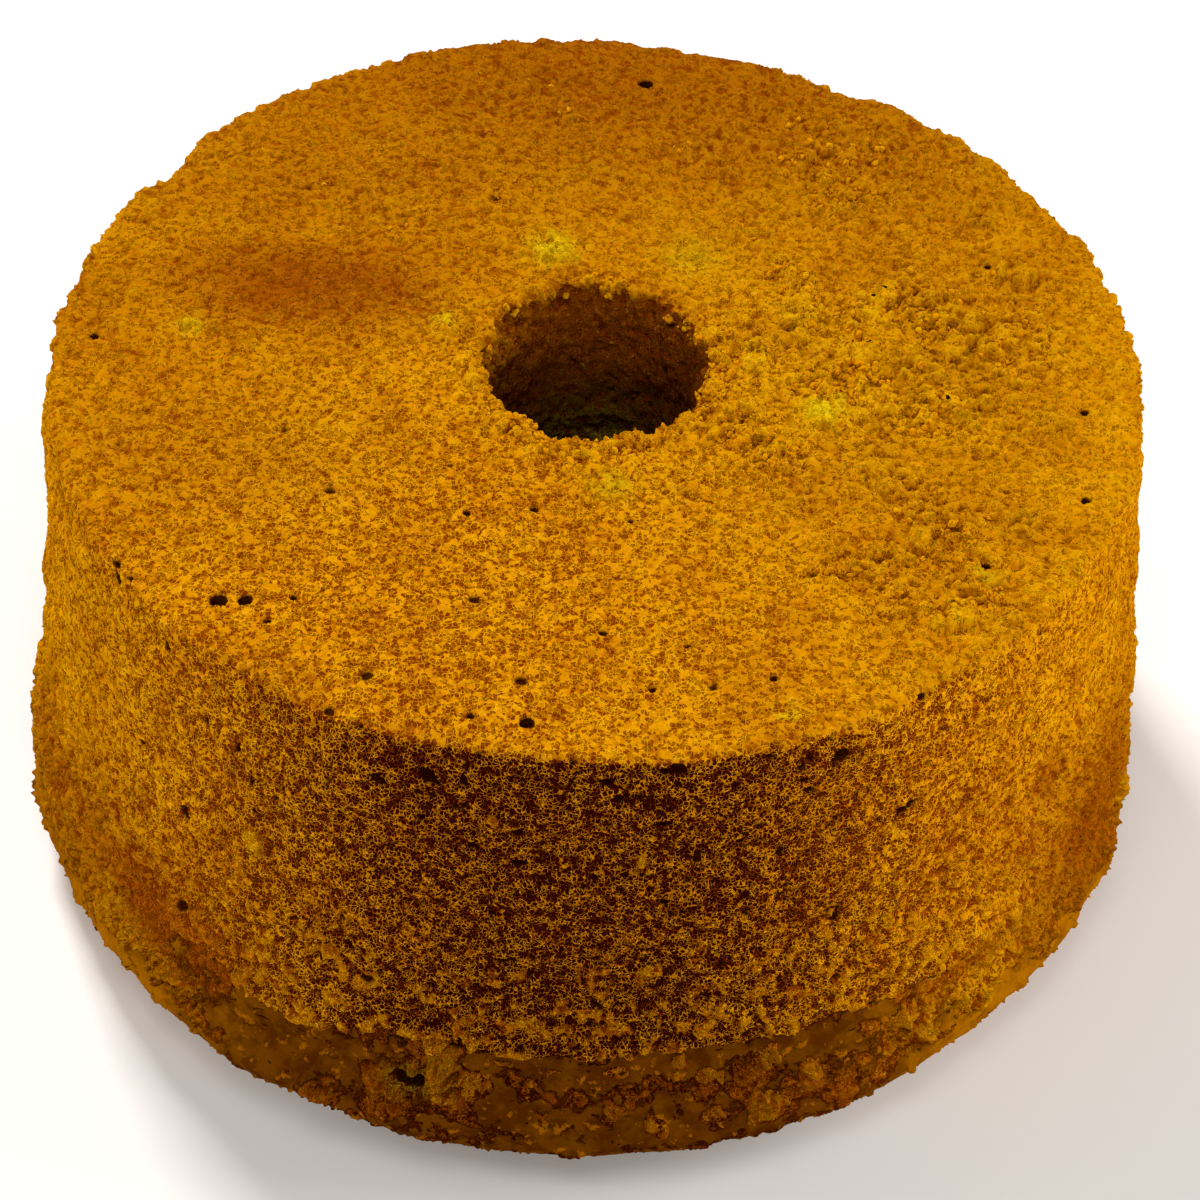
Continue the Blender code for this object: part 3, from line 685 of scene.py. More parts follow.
def skin_marks(angle, distance, place):
    """Every mark that the crumb's nodes and materials read, by name, at each point of the skin."""
    plain, z = OUTLINE.at(distance)
    x, y = flat_place(angle, plain)
    height = place[..., 2]
    outside = plain > OUTER_SIDE
    on_top = rising(z, HEIGHT - RIM_ROUND, HEIGHT)
    on_wall = rising(plain / cone_radius(z), *WALL_STARTS) * outside * (1.0 - on_top)
    in_hole = (1.0 - rising(plain, HOLE_TOP_RADIUS, HOLE_TOP_RADIUS + HOLE_TOP_ROUND)) * (1.0 - on_top)

    top = top_marks(x, y, plain)
    wall = wall_marks(angle, height)
    from_groove = GROOVE_HEIGHT + groove_shift(angle) - height
    below = rising(from_groove, -GROOVE_SOFTNESS, GROOVE_SOFTNESS)
    ahead = plateau(turn_between(angle, BAND_FRONT), BAND_FRONT_HALF, BAND_FRONT_EDGE)
    smooth = (BAND_SMOOTHNESS + wall["plates"]) * (1.0 - wall["through"])
    smooth = np.maximum(smooth, rising(BASE_SMOOTH_HEIGHT - height, -1.5 * MM, 3.0 * MM))
    gradual = rising(SIDE_CRUST_START - height, 0.0, SIDE_CRUST_FULL)
    smooth = smooth * ahead + gradual * (1.0 - ahead)
    foot_share = rising(plain, HOLE_FOOT_RADIUS, HOLE_FOOT_RADIUS + HOLE_FOOT_ROUND) * (z < HEIGHT / 2)
    smooth = smooth * (1.0 - rising(wall["lift"], 0.1 * MM, 0.5 * MM))
    band = np.where(outside, below * smooth, foot_share)
    fresh = (1.0 - 0.3 * wall["through"]) * (1.0 - 0.5 * rising(wall["lift"], 0.1 * MM, 0.8 * MM))
    browned = BAND_STAIN * below * ahead + SIDE_STAIN * gradual * (1.0 - ahead)
    filled = 1.0 - 0.85 * hump(turn_between(angle, GROOVE_OPEN_ANGLE), GROOVE_OPEN_SPREAD)
    patchy = 0.80 + 0.30 * waves(x, y, z, TORN_PATCH_PITCH, 5.0)
    low_down = rising(GROOVE_HEIGHT + LOW_WALL_TORN - z, 0.0, LOW_WALL_TORN)
    torn = top["torn"] * on_top * patchy + wall["through"] * outside * (z < HEIGHT / 2)
    torn = torn + (0.25 + 0.55 * low_down) * (1.0 - 0.55 * below * ahead) * on_wall
    torn = torn + RIM_TORN * hump(HEIGHT - z, RIM_REACH) * rising(y, RIM_TORN_FROM, 0.0) * on_wall
    torn = torn + (HOLE_TORN + (HOLE_EDGE_TORN - HOLE_TORN) * hump(HEIGHT - z, HOLE_EDGE_REACH)) * in_hole
    green = top["green"] * on_top + wall["green"] * on_wall
    for centre, level, reach, amount in HOLE_GREENS:
        along = around(angle, centre, HOLE_TOP_RADIUS)
        green = np.maximum(green, amount * in_hole * hump(np.hypot(along, z - level), reach))
    # The hole's wall is painted browner and darker, partly as painted shade, but left lighter round
    # HOLE_LIGHT_ANGLE as painted light
    lit = HOLE_LIGHT * hump(turn_between(angle, HOLE_LIGHT_ANGLE), HOLE_LIGHT_SPREAD)
    most, least = TOP_FOAM[3:]
    foamy = (least + (most - least) * top_foam(x, y)) * on_top
    return {
        "open": foamy + wall["open"] * (1.0 - BAND_CLOSED * below) * on_wall + HOLE_FOAM * in_hole,
        "torn": np.clip(torn, 0.0, TORN_MOST),
        "band": np.clip(band, 0.0, 1.0),
        "aside": np.where(outside, 1.0 - ahead, 0.0),
        "through": wall["through"] * below * outside * (1.0 - on_top),
        "groove": hump(from_groove, GROOVE_FILL_REACH) * filled * outside * (1.0 - on_top),
        "stain": np.clip(top["stain"] * on_top + (wall["stain"] + browned) * fresh * on_wall, 0.0, 1.0),
        "yellow": top["yellow"] * on_top,
        "green": np.clip(green, 0.0, 1.0),
        "hole": in_hole * (1.0 - lit),
        "pit": top["pit"] * on_top + wall["pit"] * (1.0 - on_top) * outside,
        "lift": top["lift"] * on_top + wall["lift"] * (1.0 - on_top) * outside,
    }


def rows_between(start, end, step, columns):
    """Rows of points from start to end along the outline, both ends included."""
    count = max(1, round((end - start) / step))
    return [(start + (end - start) * row / count, columns) for row in range(count + 1)]


def row_faces(upper, lower, above, below):
    """Corners, as pairs of row and column, of the faces between two rows of points."""
    faces = []
    if above == below:
        column = np.arange(above)
        corners = ((upper, 0), (lower, 0), (lower, 1), (upper, 1))
        faces.append([np.stack([np.full(above, row), column + step], -1) for row, step in corners])
        return faces
    column = np.arange(min(above, below))
    fine_row, coarse_row = (upper, lower) if above > below else (lower, upper)
    fine = [(fine_row, 2 * column + step) for step in range(3)]
    coarse = [(coarse_row, column + step) for step in range(2)]
    if above > below:
        shapes = (
            (fine[0], coarse[0], fine[1]), (fine[1], coarse[0], coarse[1]), (fine[1], coarse[1], fine[2])
        )
    else:
        shapes = (
            (coarse[0], fine[0], fine[1]), (coarse[0], fine[1], coarse[1]), (coarse[1], fine[1], fine[2])
        )
    for shape in shapes:
        faces.append([np.stack([np.full(len(column), row), at], -1) for row, at in shape])
    return faces


def skin_mesh(name, rows, first, last, flat_map):
    """A mesh of the skin between two angles, with its marks and its own map.

    rows holds each row's distance along the outline and its columns in a full turn. The map is
    laid out flat from above, or by angle and distance.
    """
    turned = last - first
    closed = turned > 359.0
    columns = [round(count * turned / 360.0) for _, count in rows]
    points = [count if closed else count + 1 for count in columns]
    begin = np.concatenate([[0], np.cumsum(points)])
    angle = np.concatenate([first + turned * np.arange(n) / c for n, c in zip(points, columns)])
    distance = np.repeat([row[0] for row in rows], points)

    place = worked_place(angle, distance)
    normal = outward_normals(angle, distance)

    loops = []
    sizes = []
    for index in range(len(rows) - 1):
        for corners in row_faces(index, index + 1, columns[index], columns[index + 1]):
            stacked = np.stack(corners, 1)
            loops.append(stacked.reshape(-1, 2))
            sizes.append(np.full(len(stacked), stacked.shape[1]))
    loops = np.concatenate(loops)
    sizes = np.concatenate(sizes)
    column_count = np.array(columns)[loops[:, 0]]
    wrapped = loops[:, 1] % column_count if closed else loops[:, 1]
    vertex = begin[loops[:, 0]] + wrapped

    mesh = bpy.data.meshes.new(name)
    mesh.vertices.add(len(place))
    mesh.vertices.foreach_set("co", place.ravel())
    mesh.loops.add(len(vertex))
    mesh.loops.foreach_set("vertex_index", vertex.astype(np.int32))
    mesh.polygons.add(len(sizes))
    starts = np.concatenate([[0], np.cumsum(sizes)[:-1]])
    mesh.polygons.foreach_set("loop_start", starts.astype(np.int32))
    mesh.update(calc_edges=True)
    mesh.shade_smooth()

    if flat_map:
        flat = place[vertex][:, :2]
        low = flat.min(0)
        spread = (flat - low) / (flat.max(0) - low)
    else:
        along = np.array([row[0] for row in rows])
        along = (along - along[0]) / (along[-1] - along[0])
        spread = np.stack([loops[:, 1] / column_count, along[loops[:, 0]]], -1)
    layer = mesh.uv_layers.new(name=MAP_NAME)
    layer.uv.foreach_set("vector", spread.astype(np.float32).ravel())

    for mark, value in (("rest", place), ("outwards", normal)):
        attribute = mesh.attributes.new(mark, "FLOAT_VECTOR", "POINT")
        attribute.data.foreach_set("vector", value.astype(np.float32).ravel())
    for mark, value in skin_marks(angle, distance, place).items():
        attribute = mesh.attributes.new(mark, "FLOAT", "POINT")
        attribute.data.foreach_set("value", value.astype(np.float32))
    return mesh


class Field:
    """A socket of a node tree that can stand in sums."""

    def __init__(self, nodes, socket):
        self.nodes = nodes
        self.socket = socket

    def sum_with(self, operation, *values):
        settings = {"operation": operation}
        node = self.nodes.add("ShaderNodeMath", settings, dict(enumerate(values)))
        return self.nodes.out(node, 0)

    def __add__(self, other):
        return self.sum_with("ADD", self, other)

    def __sub__(self, other):
        return self.sum_with("SUBTRACT", self, other)

    def __mul__(self, other):
        return self.sum_with("MULTIPLY", self, other)

    def __truediv__(self, other):
        return self.sum_with("DIVIDE", self, other)

    def __radd__(self, other):
        return self.sum_with("ADD", other, self)

    def __rsub__(self, other):
        return self.sum_with("SUBTRACT", other, self)

    def __rmul__(self, other):
        return self.sum_with("MULTIPLY", other, self)

    def __rtruediv__(self, other):
        return self.sum_with("DIVIDE", other, self)

    def bigger(self, other):
        return self.sum_with("MAXIMUM", self, other)

    def smaller(self, other):
        return self.sum_with("MINIMUM", self, other)

    def root(self):
        return self.sum_with("SQRT", self)

    def rising(self, low, high):
        """Zero below low, one above high, with a soft step between."""
        settings = {"interpolation_type": "SMOOTHSTEP"}
        values = {"Value": self, "From Min": low, "From Max": high}
        node = self.nodes.add("ShaderNodeMapRange", settings, values)
        return self.nodes.out(node, 0)


class Nodes:
    """Adds nodes to one tree."""

    def __init__(self, tree):
        self.tree = tree
        tree.nodes.clear()

    def add(self, kind, settings=None, values=None):
        """A new node of this kind, its settings first and then its sockets' values or links."""
        node = self.tree.nodes.new(kind)
        for name, value in (settings or {}).items():
            setattr(node, name, value)
        for key, value in (values or {}).items():
            socket = self.socket(node.inputs, key)
            if isinstance(value, Field):
                self.tree.links.new(value.socket, socket)
            else:
                socket.default_value = value
        return node

    def socket(self, sockets, key):
        """The socket with this number, or the first one in use with this name."""
        if isinstance(key, int):
            return sockets[key]
        return next(socket for socket in sockets if socket.name == key and socket.enabled)

    def out(self, node, key):
        return Field(self, self.socket(node.outputs, key))

    def made(self, kind, settings=None, values=None):
        """The first output of a new node."""
        return self.out(self.add(kind, settings, values), 0)

    def split(self, vector):
        """A node whose outputs are the vector's parts."""
        return self.add("ShaderNodeSeparateXYZ", None, {0: vector})

    def mark(self, name, kind="FLOAT"):
        """A mark of the skin, read by its name."""
        if self.tree.type == "GEOMETRY":
            node = self.add("GeometryNodeInputNamedAttribute", {"data_type": kind}, {"Name": name})
            return self.out(node, "Attribute")
        node = self.add("ShaderNodeAttribute", {"attribute_name": name})
        return self.out(node, "Fac" if kind == "FLOAT" else "Vector")

    def vector(self, operation, first, *others, **named):
        """Vector maths; named sockets are for what isn't a vector."""
        values = dict(enumerate((first, *others)), **named)
        return self.made("ShaderNodeVectorMath", {"operation": operation}, values)

    def noise(self, place, pitch, detail=2.0, roughness=0.5):
        """Cloudy unevenness between about 0.3 and 0.7, with features about one pitch wide."""
        values = {"Vector": place, "Scale": 1.0 / pitch, "Detail": detail, "Roughness": roughness}
        return self.made("ShaderNodeTexNoise", None, values)

    def bend(self, place, pitch, amount):
        """The place, swayed by up to about half of amount in waves of one pitch."""
        sway = self.add("ShaderNodeTexNoise", None, {"Vector": place, "Scale": 1.0 / pitch, "Detail": 1.0})
        sway = self.vector("SUBTRACT", self.out(sway, "Color"), (0.5, 0.5, 0.5))
        return self.vector("ADD", place, self.vector("SCALE", sway, Scale=amount))

    def pits(self, place, pitch, narrow, wide, share=1.0):
        """Round hollows, one for each cell of this pitch: 0 at the edge and 1 at the bottom.

        narrow and wide are the least and greatest reach in cells, and share is how many cells
        have a hollow.
        """
        cell = self.add("ShaderNodeTexVoronoi", None, {"Vector": place, "Scale": 1.0 / pitch})
        chance = self.split(self.out(cell, "Color"))
        reach = narrow + (wide - narrow) * self.out(chance, 0)
        far = self.out(cell, "Distance") / reach
        hollow = (1.0 - far * far).bigger(0.0).root()
        if share < 1.0:
            hollow = hollow * self.out(chance, 1).rising(1.0 - share, 1.0 - share + 0.02)
        return hollow

    def blend(self, share, first, second):
        """A colour between first and second."""
        values = {"Factor": share, "A": first, "B": second}
        node = self.add("ShaderNodeMix", {"data_type": "RGBA"}, values)
        return self.out(node, "Result")

    def darker(self, tone, factor):
        """A colour times a number."""
        return self.vector("SCALE", tone, Scale=factor)


def foam(nodes, place, pitch, openness):
    """The fine foam of the crumb: 0 on its strands, and up to 1 in the middle of a pore.

    Where it is less open, the strands are thicker and fewer of its cells are pores.
    """
    bent = nodes.bend(place, 1.4 * pitch, 1.3 * pitch)
    values = {"Vector": bent, "Scale": 1.0 / pitch}
    edge = nodes.add("ShaderNodeTexVoronoi", {"feature": "DISTANCE_TO_EDGE"}, values)
    cell = nodes.add("ShaderNodeTexVoronoi", None, values)
    chance = nodes.out(nodes.split(nodes.out(cell, "Color")), 0)
    strand = 0.09 - 0.075 * openness
    width = 0.10 + 0.14 * chance
    pore = ((nodes.out(edge, "Distance") - strand) / width).rising(0.0, 1.0)
    return pore * (0.32 + 0.83 * openness - chance).rising(-0.25, 0.15)


def crust_edge(nodes, place):
    """How far inside the smooth crust's plates each point is: 0 at their ragged edges."""
    level = 0.725 - 0.45 * nodes.mark("band")
    return (nodes.noise(place, EDGE_PITCH, 4.0, 0.55) - level) / 0.035


def new_tree(name, inputs):
    """A Geometry Nodes tree with these inputs, between its geometry and its material."""
    tree = bpy.data.node_groups.new(name, "GeometryNodeTree")
    tree.is_modifier = True
    corner = "NodeSocketVector"
    corners = (("Lowest Corner", corner, CAD_LOW), ("Highest Corner", corner, CAD_HIGH))
    face = tree.interface
    face.new_socket("Geometry", in_out="INPUT", socket_type="NodeSocketGeometry")
    for label, kind, value in (*inputs, *corners):
        face.new_socket(label, in_out="INPUT", socket_type=kind).default_value = value
    face.new_socket("Material", in_out="INPUT", socket_type="NodeSocketMaterial")
    face.new_socket("Geometry", in_out="OUTPUT", socket_type="NodeSocketGeometry")
    return tree


def within_box(nodes, given, place):
    """The place, kept between the tree's lowest and highest corners."""
    kept = nodes.vector("MAXIMUM", place, nodes.out(given, "Lowest Corner"))
    return nodes.vector("MINIMUM", kept, nodes.out(given, "Highest Corner"))


def crumb_relief(sizes):
    """Geometry Nodes tree that opens the pores and raises the torn clumps of a piece of skin."""
    names = (
        "Bubble Pitch", "Bubble Depth", "Cavity Pitch", "Cavity Depth",
        "Clump Pitch", "Clump Height", "Grain Pitch", "Grain Height", "Bulge Pitch", "Bulge Height",
    )
    values = [getattr(sizes, name.lower().replace(" ", "_")) for name in names]
    tree = new_tree("crumb relief", [(name, "NodeSocketFloat", value) for name, value in zip(names, values)])
    nodes = Nodes(tree)
    given = nodes.add("NodeGroupInput")
    size = {name: nodes.out(given, name) for name in names}
    rest = nodes.mark("rest", "FLOAT_VECTOR")
    openness = nodes.mark("open")
    torn = nodes.mark("torn")
    crust = crust_edge(nodes, rest).rising(-0.5, 0.5)

    bent = nodes.bend(rest, size["Grain Pitch"] * 1.3, size["Bubble Pitch"] * 0.45)
    how_open = 0.25 + 0.75 * openness
    bubble = nodes.pits(bent, size["Bubble Pitch"], 0.18, 0.40, 0.55) * size["Bubble Depth"] * how_open
    cavity = nodes.pits(bent, size["Cavity Pitch"], 0.08, 0.17, 0.35) * size["Cavity Depth"] * how_open
    sunk = bubble.bigger(cavity) * (1.0 - 0.85 * crust)
    rough = nodes.noise(rest, size["Grain Pitch"], 4.0, 0.62)
    sunk = sunk.bigger(nodes.mark("pit") * (0.6 + 0.8 * rough))

    cloud = nodes.noise(rest, size["Clump Pitch"], 4.0, 0.62)
    high_clump = cloud.rising(0.505, 0.575)
    clump = (high_clump - cloud.rising(0.46, 0.39) * 0.5) * torn * size["Clump Height"]
    clump = clump + nodes.mark("through") * (0.4 + high_clump) * size["Clump Height"]
    clump = clump * (1.0 - 0.8 * crust)
    lift = nodes.mark("lift") * (0.35 + cloud.rising(0.40, 0.58) * 0.9)
    grain = (rough - 0.5) * 2.0 * size["Grain Height"] * (0.45 + 0.15 * openness + 0.55 * torn)
    grain = grain * (1.0 - 0.85 * crust)
    bulge = (nodes.noise(rest, size["Bulge Pitch"], 2.0, 0.5) - 0.5) * 2.0 * size["Bulge Height"]
    bulge = bulge * how_open * (1.0 - 0.70 * crust)
    heap = nodes.noise(rest, HEAP_PITCH, 3.0, 0.6).rising(0.42, 0.56)
    fill = nodes.mark("groove") * (nodes.mark("aside") * 0.6).bigger(heap) * GROOVE_FILL
    height = nodes.out(nodes.split(rest), 2)
    scab = nodes.noise(rest, SCAB_PITCH, 3.0, 0.6).rising(0.58, 0.66) * crust * SCAB_HEIGHT
    scab = scab * height.rising(6.0 * MM, 10.0 * MM)
    raised = clump + lift + grain + bulge + fill + scab
    total = raised - sunk

    outwards = nodes.mark("outwards", "FLOAT_VECTOR")
    moved = nodes.vector("MULTIPLY_ADD", outwards, total, rest)
    kept = within_box(nodes, given, moved)
    values = {"Geometry": nodes.out(given, "Geometry"), "Position": kept}
    skin = nodes.made("GeometryNodeSetPosition", None, values)
    patches = nodes.noise(rest, PATCH_PITCH, 4.0, 0.62)
    # The grain's cloud is kept for the materials, which paint its tops lighter and its valleys darker as
    # painted light and shade
    stored = {"sunk": sunk, "raised": clump + lift, "patches": patches, "grain_shading": rough}
    for name, value in stored.items():
        values = {"Geometry": skin, "Name": name, "Value": value}
        skin = nodes.made("GeometryNodeStoreNamedAttribute", {"data_type": "FLOAT"}, values)
    skin = nodes.made("GeometryNodeRealizeInstances", None, {"Geometry": skin})
    values = {"Geometry": skin, "Material": nodes.out(given, "Material")}
    skin = nodes.made("GeometryNodeSetMaterial", None, values)
    nodes.add("NodeGroupOutput", None, {"Geometry": skin})
    return tree


def crumb_scatter(sizes):
    """Geometry Nodes tree that scatters small torn crumbs over a piece of skin, where it is torn."""
    inputs = (
        ("Crumb Density", "NodeSocketFloat", sizes.crumb_density),
        ("Crumb Width", "NodeSocketFloat", sizes.crumb_width),
        ("Seed", "NodeSocketInt", sizes.seed),
    )
    tree = new_tree("crumb scatter", inputs)
    nodes = Nodes(tree)
    given = nodes.add("NodeGroupInput")
    seed = nodes.out(given, "Seed")
    where = nodes.mark("torn").rising(0.45, 1.1) * nodes.mark("patches").rising(0.40, 0.58)
    density = where * nodes.out(given, "Crumb Density")
    values = {"Mesh": nodes.out(given, "Geometry"), "Density": density, "Seed": seed}
    points = nodes.out(nodes.add("GeometryNodeDistributePointsOnFaces", None, values), "Points")

    ball = nodes.add("GeometryNodeMeshUVSphere", None, {"Segments": 6, "Rings": 4, "Radius": 0.5})
    values = {"Geometry": nodes.out(ball, "Mesh"), "Name": MAP_NAME, "Value": nodes.out(ball, "UV Map")}
    on_map = {"data_type": "FLOAT2", "domain": "CORNER"}
    ball = nodes.made("GeometryNodeStoreNamedAttribute", on_map, values)

    chances = {"data_type": "FLOAT_VECTOR"}
    values = {"Max": (math.tau, math.tau, math.tau), "Seed": seed}
    turn = nodes.out(nodes.add("FunctionNodeRandomValue", chances, values), "Value")
    turn = nodes.made("FunctionNodeEulerToRotation", None, {0: turn})
    values = {"Min": (0.7, 0.5, 0.4), "Max": (1.0, 0.8, 0.6), "Seed": seed + 1.0}
    form = nodes.out(nodes.add("FunctionNodeRandomValue", chances, values), "Value")
    values = {"Min": 0.45, "Max": 1.0, "Seed": seed + 2.0}
    share = nodes.out(nodes.add("FunctionNodeRandomValue", {"data_type": "FLOAT"}, values), "Value")
    form = nodes.vector("SCALE", form, Scale=share * share * share * nodes.out(given, "Crumb Width"))
    values = {"Points": points, "Instance": ball, "Rotation": turn, "Scale": form}
    crumbs = nodes.made("GeometryNodeInstanceOnPoints", None, values)
    values = {"Geometry": crumbs, "Name": "number", "Value": nodes.made("GeometryNodeInputIndex")}
    by_crumb = {"data_type": "INT", "domain": "INSTANCE"}
    crumbs = nodes.made("GeometryNodeStoreNamedAttribute", by_crumb, values)
    crumbs = nodes.made("GeometryNodeRealizeInstances", None, {"Geometry": crumbs})

    number = nodes.mark("number")
    column = number.sum_with("MODULO", number, CRUMB_CELLS)
    row = number.sum_with("FLOOR", number / CRUMB_CELLS)
    flat = nodes.split(nodes.mark(MAP_NAME, "FLOAT_VECTOR"))
    margin = (1.0 - CRUMB_CELL_SHARE) / 2
    across = (column + margin + CRUMB_CELL_SHARE * nodes.out(flat, 0)) / CRUMB_CELLS
    up = (row + margin + CRUMB_CELL_SHARE * nodes.out(flat, 1)) / CRUMB_CELLS
    spread = nodes.made("ShaderNodeCombineXYZ", None, {0: across, 1: up})
    values = {"Geometry": crumbs, "Name": MAP_NAME, "Value": spread}
    crumbs = nodes.made("GeometryNodeStoreNamedAttribute", on_map, values)

    moved = nodes.bend(nodes.made("GeometryNodeInputPosition"), CRUMB_BEND_PITCH, CRUMB_BEND)
    kept = within_box(nodes, given, moved)
    crumbs = nodes.made("GeometryNodeSetPosition", None, {"Geometry": crumbs, "Position": kept})
    crumbs = nodes.made("GeometryNodeSetShadeSmooth", None, {"Geometry": crumbs})
    values = {"Geometry": crumbs, "Material": nodes.out(given, "Material")}
    crumbs = nodes.made("GeometryNodeSetMaterial", None, values)
    nodes.add("NodeGroupOutput", None, {"Geometry": crumbs})
    return tree


def set_input(modifier, name, value):
    """Sets a modifier's input by its identifier, which is found by its name."""
    for item in modifier.node_group.interface.items_tree:
        if item.item_type == "SOCKET" and item.in_out == "INPUT" and item.name == name:
            modifier[item.identifier] = value


def finished(source, name):
    """A plain object of what source looks like with its modifiers, in place of source."""
    graph = bpy.context.evaluated_depsgraph_get()
    mesh = bpy.data.meshes.new_from_object(source.evaluated_get(graph))
    mesh.name = name
    old = source.data
    bpy.data.objects.remove(source, do_unlink=True)
    bpy.data.meshes.remove(old)
    result = bpy.data.objects.new(name, mesh)
    bpy.context.scene.collection.objects.link(result)
    return result


def place_piece(piece, replaced=True):
    """Ties a finished piece to the cake's body, and hides the imported part when the piece replaces it."""
    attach(piece, BODY)
    if replaced:
        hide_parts(NODE)


def relief_tree():
    """The tree that all pieces of skin share, made if it isn't there yet."""
    tree = bpy.data.node_groups.get("crumb relief")
    return tree or crumb_relief(bpy.context.scene.cake_sizes)


def make_skin(name, rows, first, last, material, flat_map=False):
    """One piece of the cake's skin, with its pores opened."""
    mesh = skin_mesh(name + " plain", rows, first, last, flat_map)
    source = bpy.data.objects.new(name + " plain", mesh)
    bpy.context.scene.collection.objects.link(source)
    relief = source.modifiers.new("crumb relief", "NODES")
    relief.node_group = relief_tree()
    set_input(relief, "Material", material)
    place_piece(finished(source, name))


def make_quarters(part, rows, material, flat_map=False):
    """A part of the skin that goes all round, in four pieces."""
    for side, first in QUARTERS:
        make_skin(part + side, rows, first, first + 90.0, material, flat_map)


def tone(value):
    """A colour property as a node socket's value."""
    return (*value, 1.0)


def new_material(name):
    """A material, its nodes and the place in its object that its textures read."""
    material = bpy.data.materials.new(name)
    material.use_nodes = True
    nodes = Nodes(material.node_tree)
    return material, nodes, nodes.out(nodes.add("ShaderNodeTexCoord"), "Object")


def matt_surface(nodes, base, roughness, height):
    """A surface without gloss, with this colour and this fine relief."""
    bump = nodes.made("ShaderNodeBump", None, {"Strength": 1.0, "Distance": 1.0, "Height": height})
    values = {"Base Color": base, "Roughness": roughness, "Specular IOR Level": 0.0, "Normal": bump}
    shader = nodes.made("ShaderNodeBsdfPrincipled", None, values)
    nodes.add("ShaderNodeOutputMaterial", None, {"Surface": shader})


def with_crust(nodes, place, rest, base, height, dust):
    """The crumb's colour and relief, with plates of crust over them where the skin is browned."""
    colours = bpy.context.scene.cake_colours
    level = nodes.out(nodes.split(rest), 2)
    aside = nodes.mark("aside")
    base = nodes.darker(base, 0.72 + 0.23 * aside)
    edge = crust_edge(nodes, rest)
    crust = edge.rising(-0.5, 0.5)
    # Painted shade: dark gaps round the plates of crust
    gap_shade = edge.rising(-2.6, -0.8) * (1.0 - crust)
    base = nodes.blend(gap_shade * (0.80 - 0.45 * aside), base, tone(colours.deep_shade))
    scorch = nodes.noise(place, SCORCH_PITCH, 4.0, 0.6)
    low_down = level.rising(12.0 * MM, 6.0 * MM)
    band = nodes.blend(low_down * 0.8, tone(colours.crust), tone(colours.low_crust))
    band = nodes.blend(aside, band, tone(colours.side_crust))
    burnt = scorch.rising(0.40, 0.62) * (0.80 - 0.45 * low_down.bigger(aside))
    band = nodes.blend(burnt, band, tone(colours.dark_crust))
    scab = nodes.noise(rest, SCAB_PITCH, 3.0, 0.6).rising(0.58, 0.66) * (1.0 - low_down)
    band = nodes.blend(scab * 0.7, band, tone(colours.scab))
    flat = nodes.vector("MULTIPLY", place, (0.35, 0.35, 1.0))
    crack = nodes.noise(flat, CRACK_PITCH, 3.0, 0.6).rising(0.36, 0.30)
    # Painted shade: the cracks, sunk in the relief, are darkened as well
    band = nodes.blend(crack * 0.8, band, tone(colours.deep_shade))
    band = nodes.darker(band, 0.85 + 0.30 * dust)
    plain = (scorch - 0.5) * 0.6 * MM + (dust - 0.5) * 0.05 * MM - crack * 0.4 * MM + 0.3 * MM
    return nodes.blend(crust, base, band), height + crust * (plain - height)


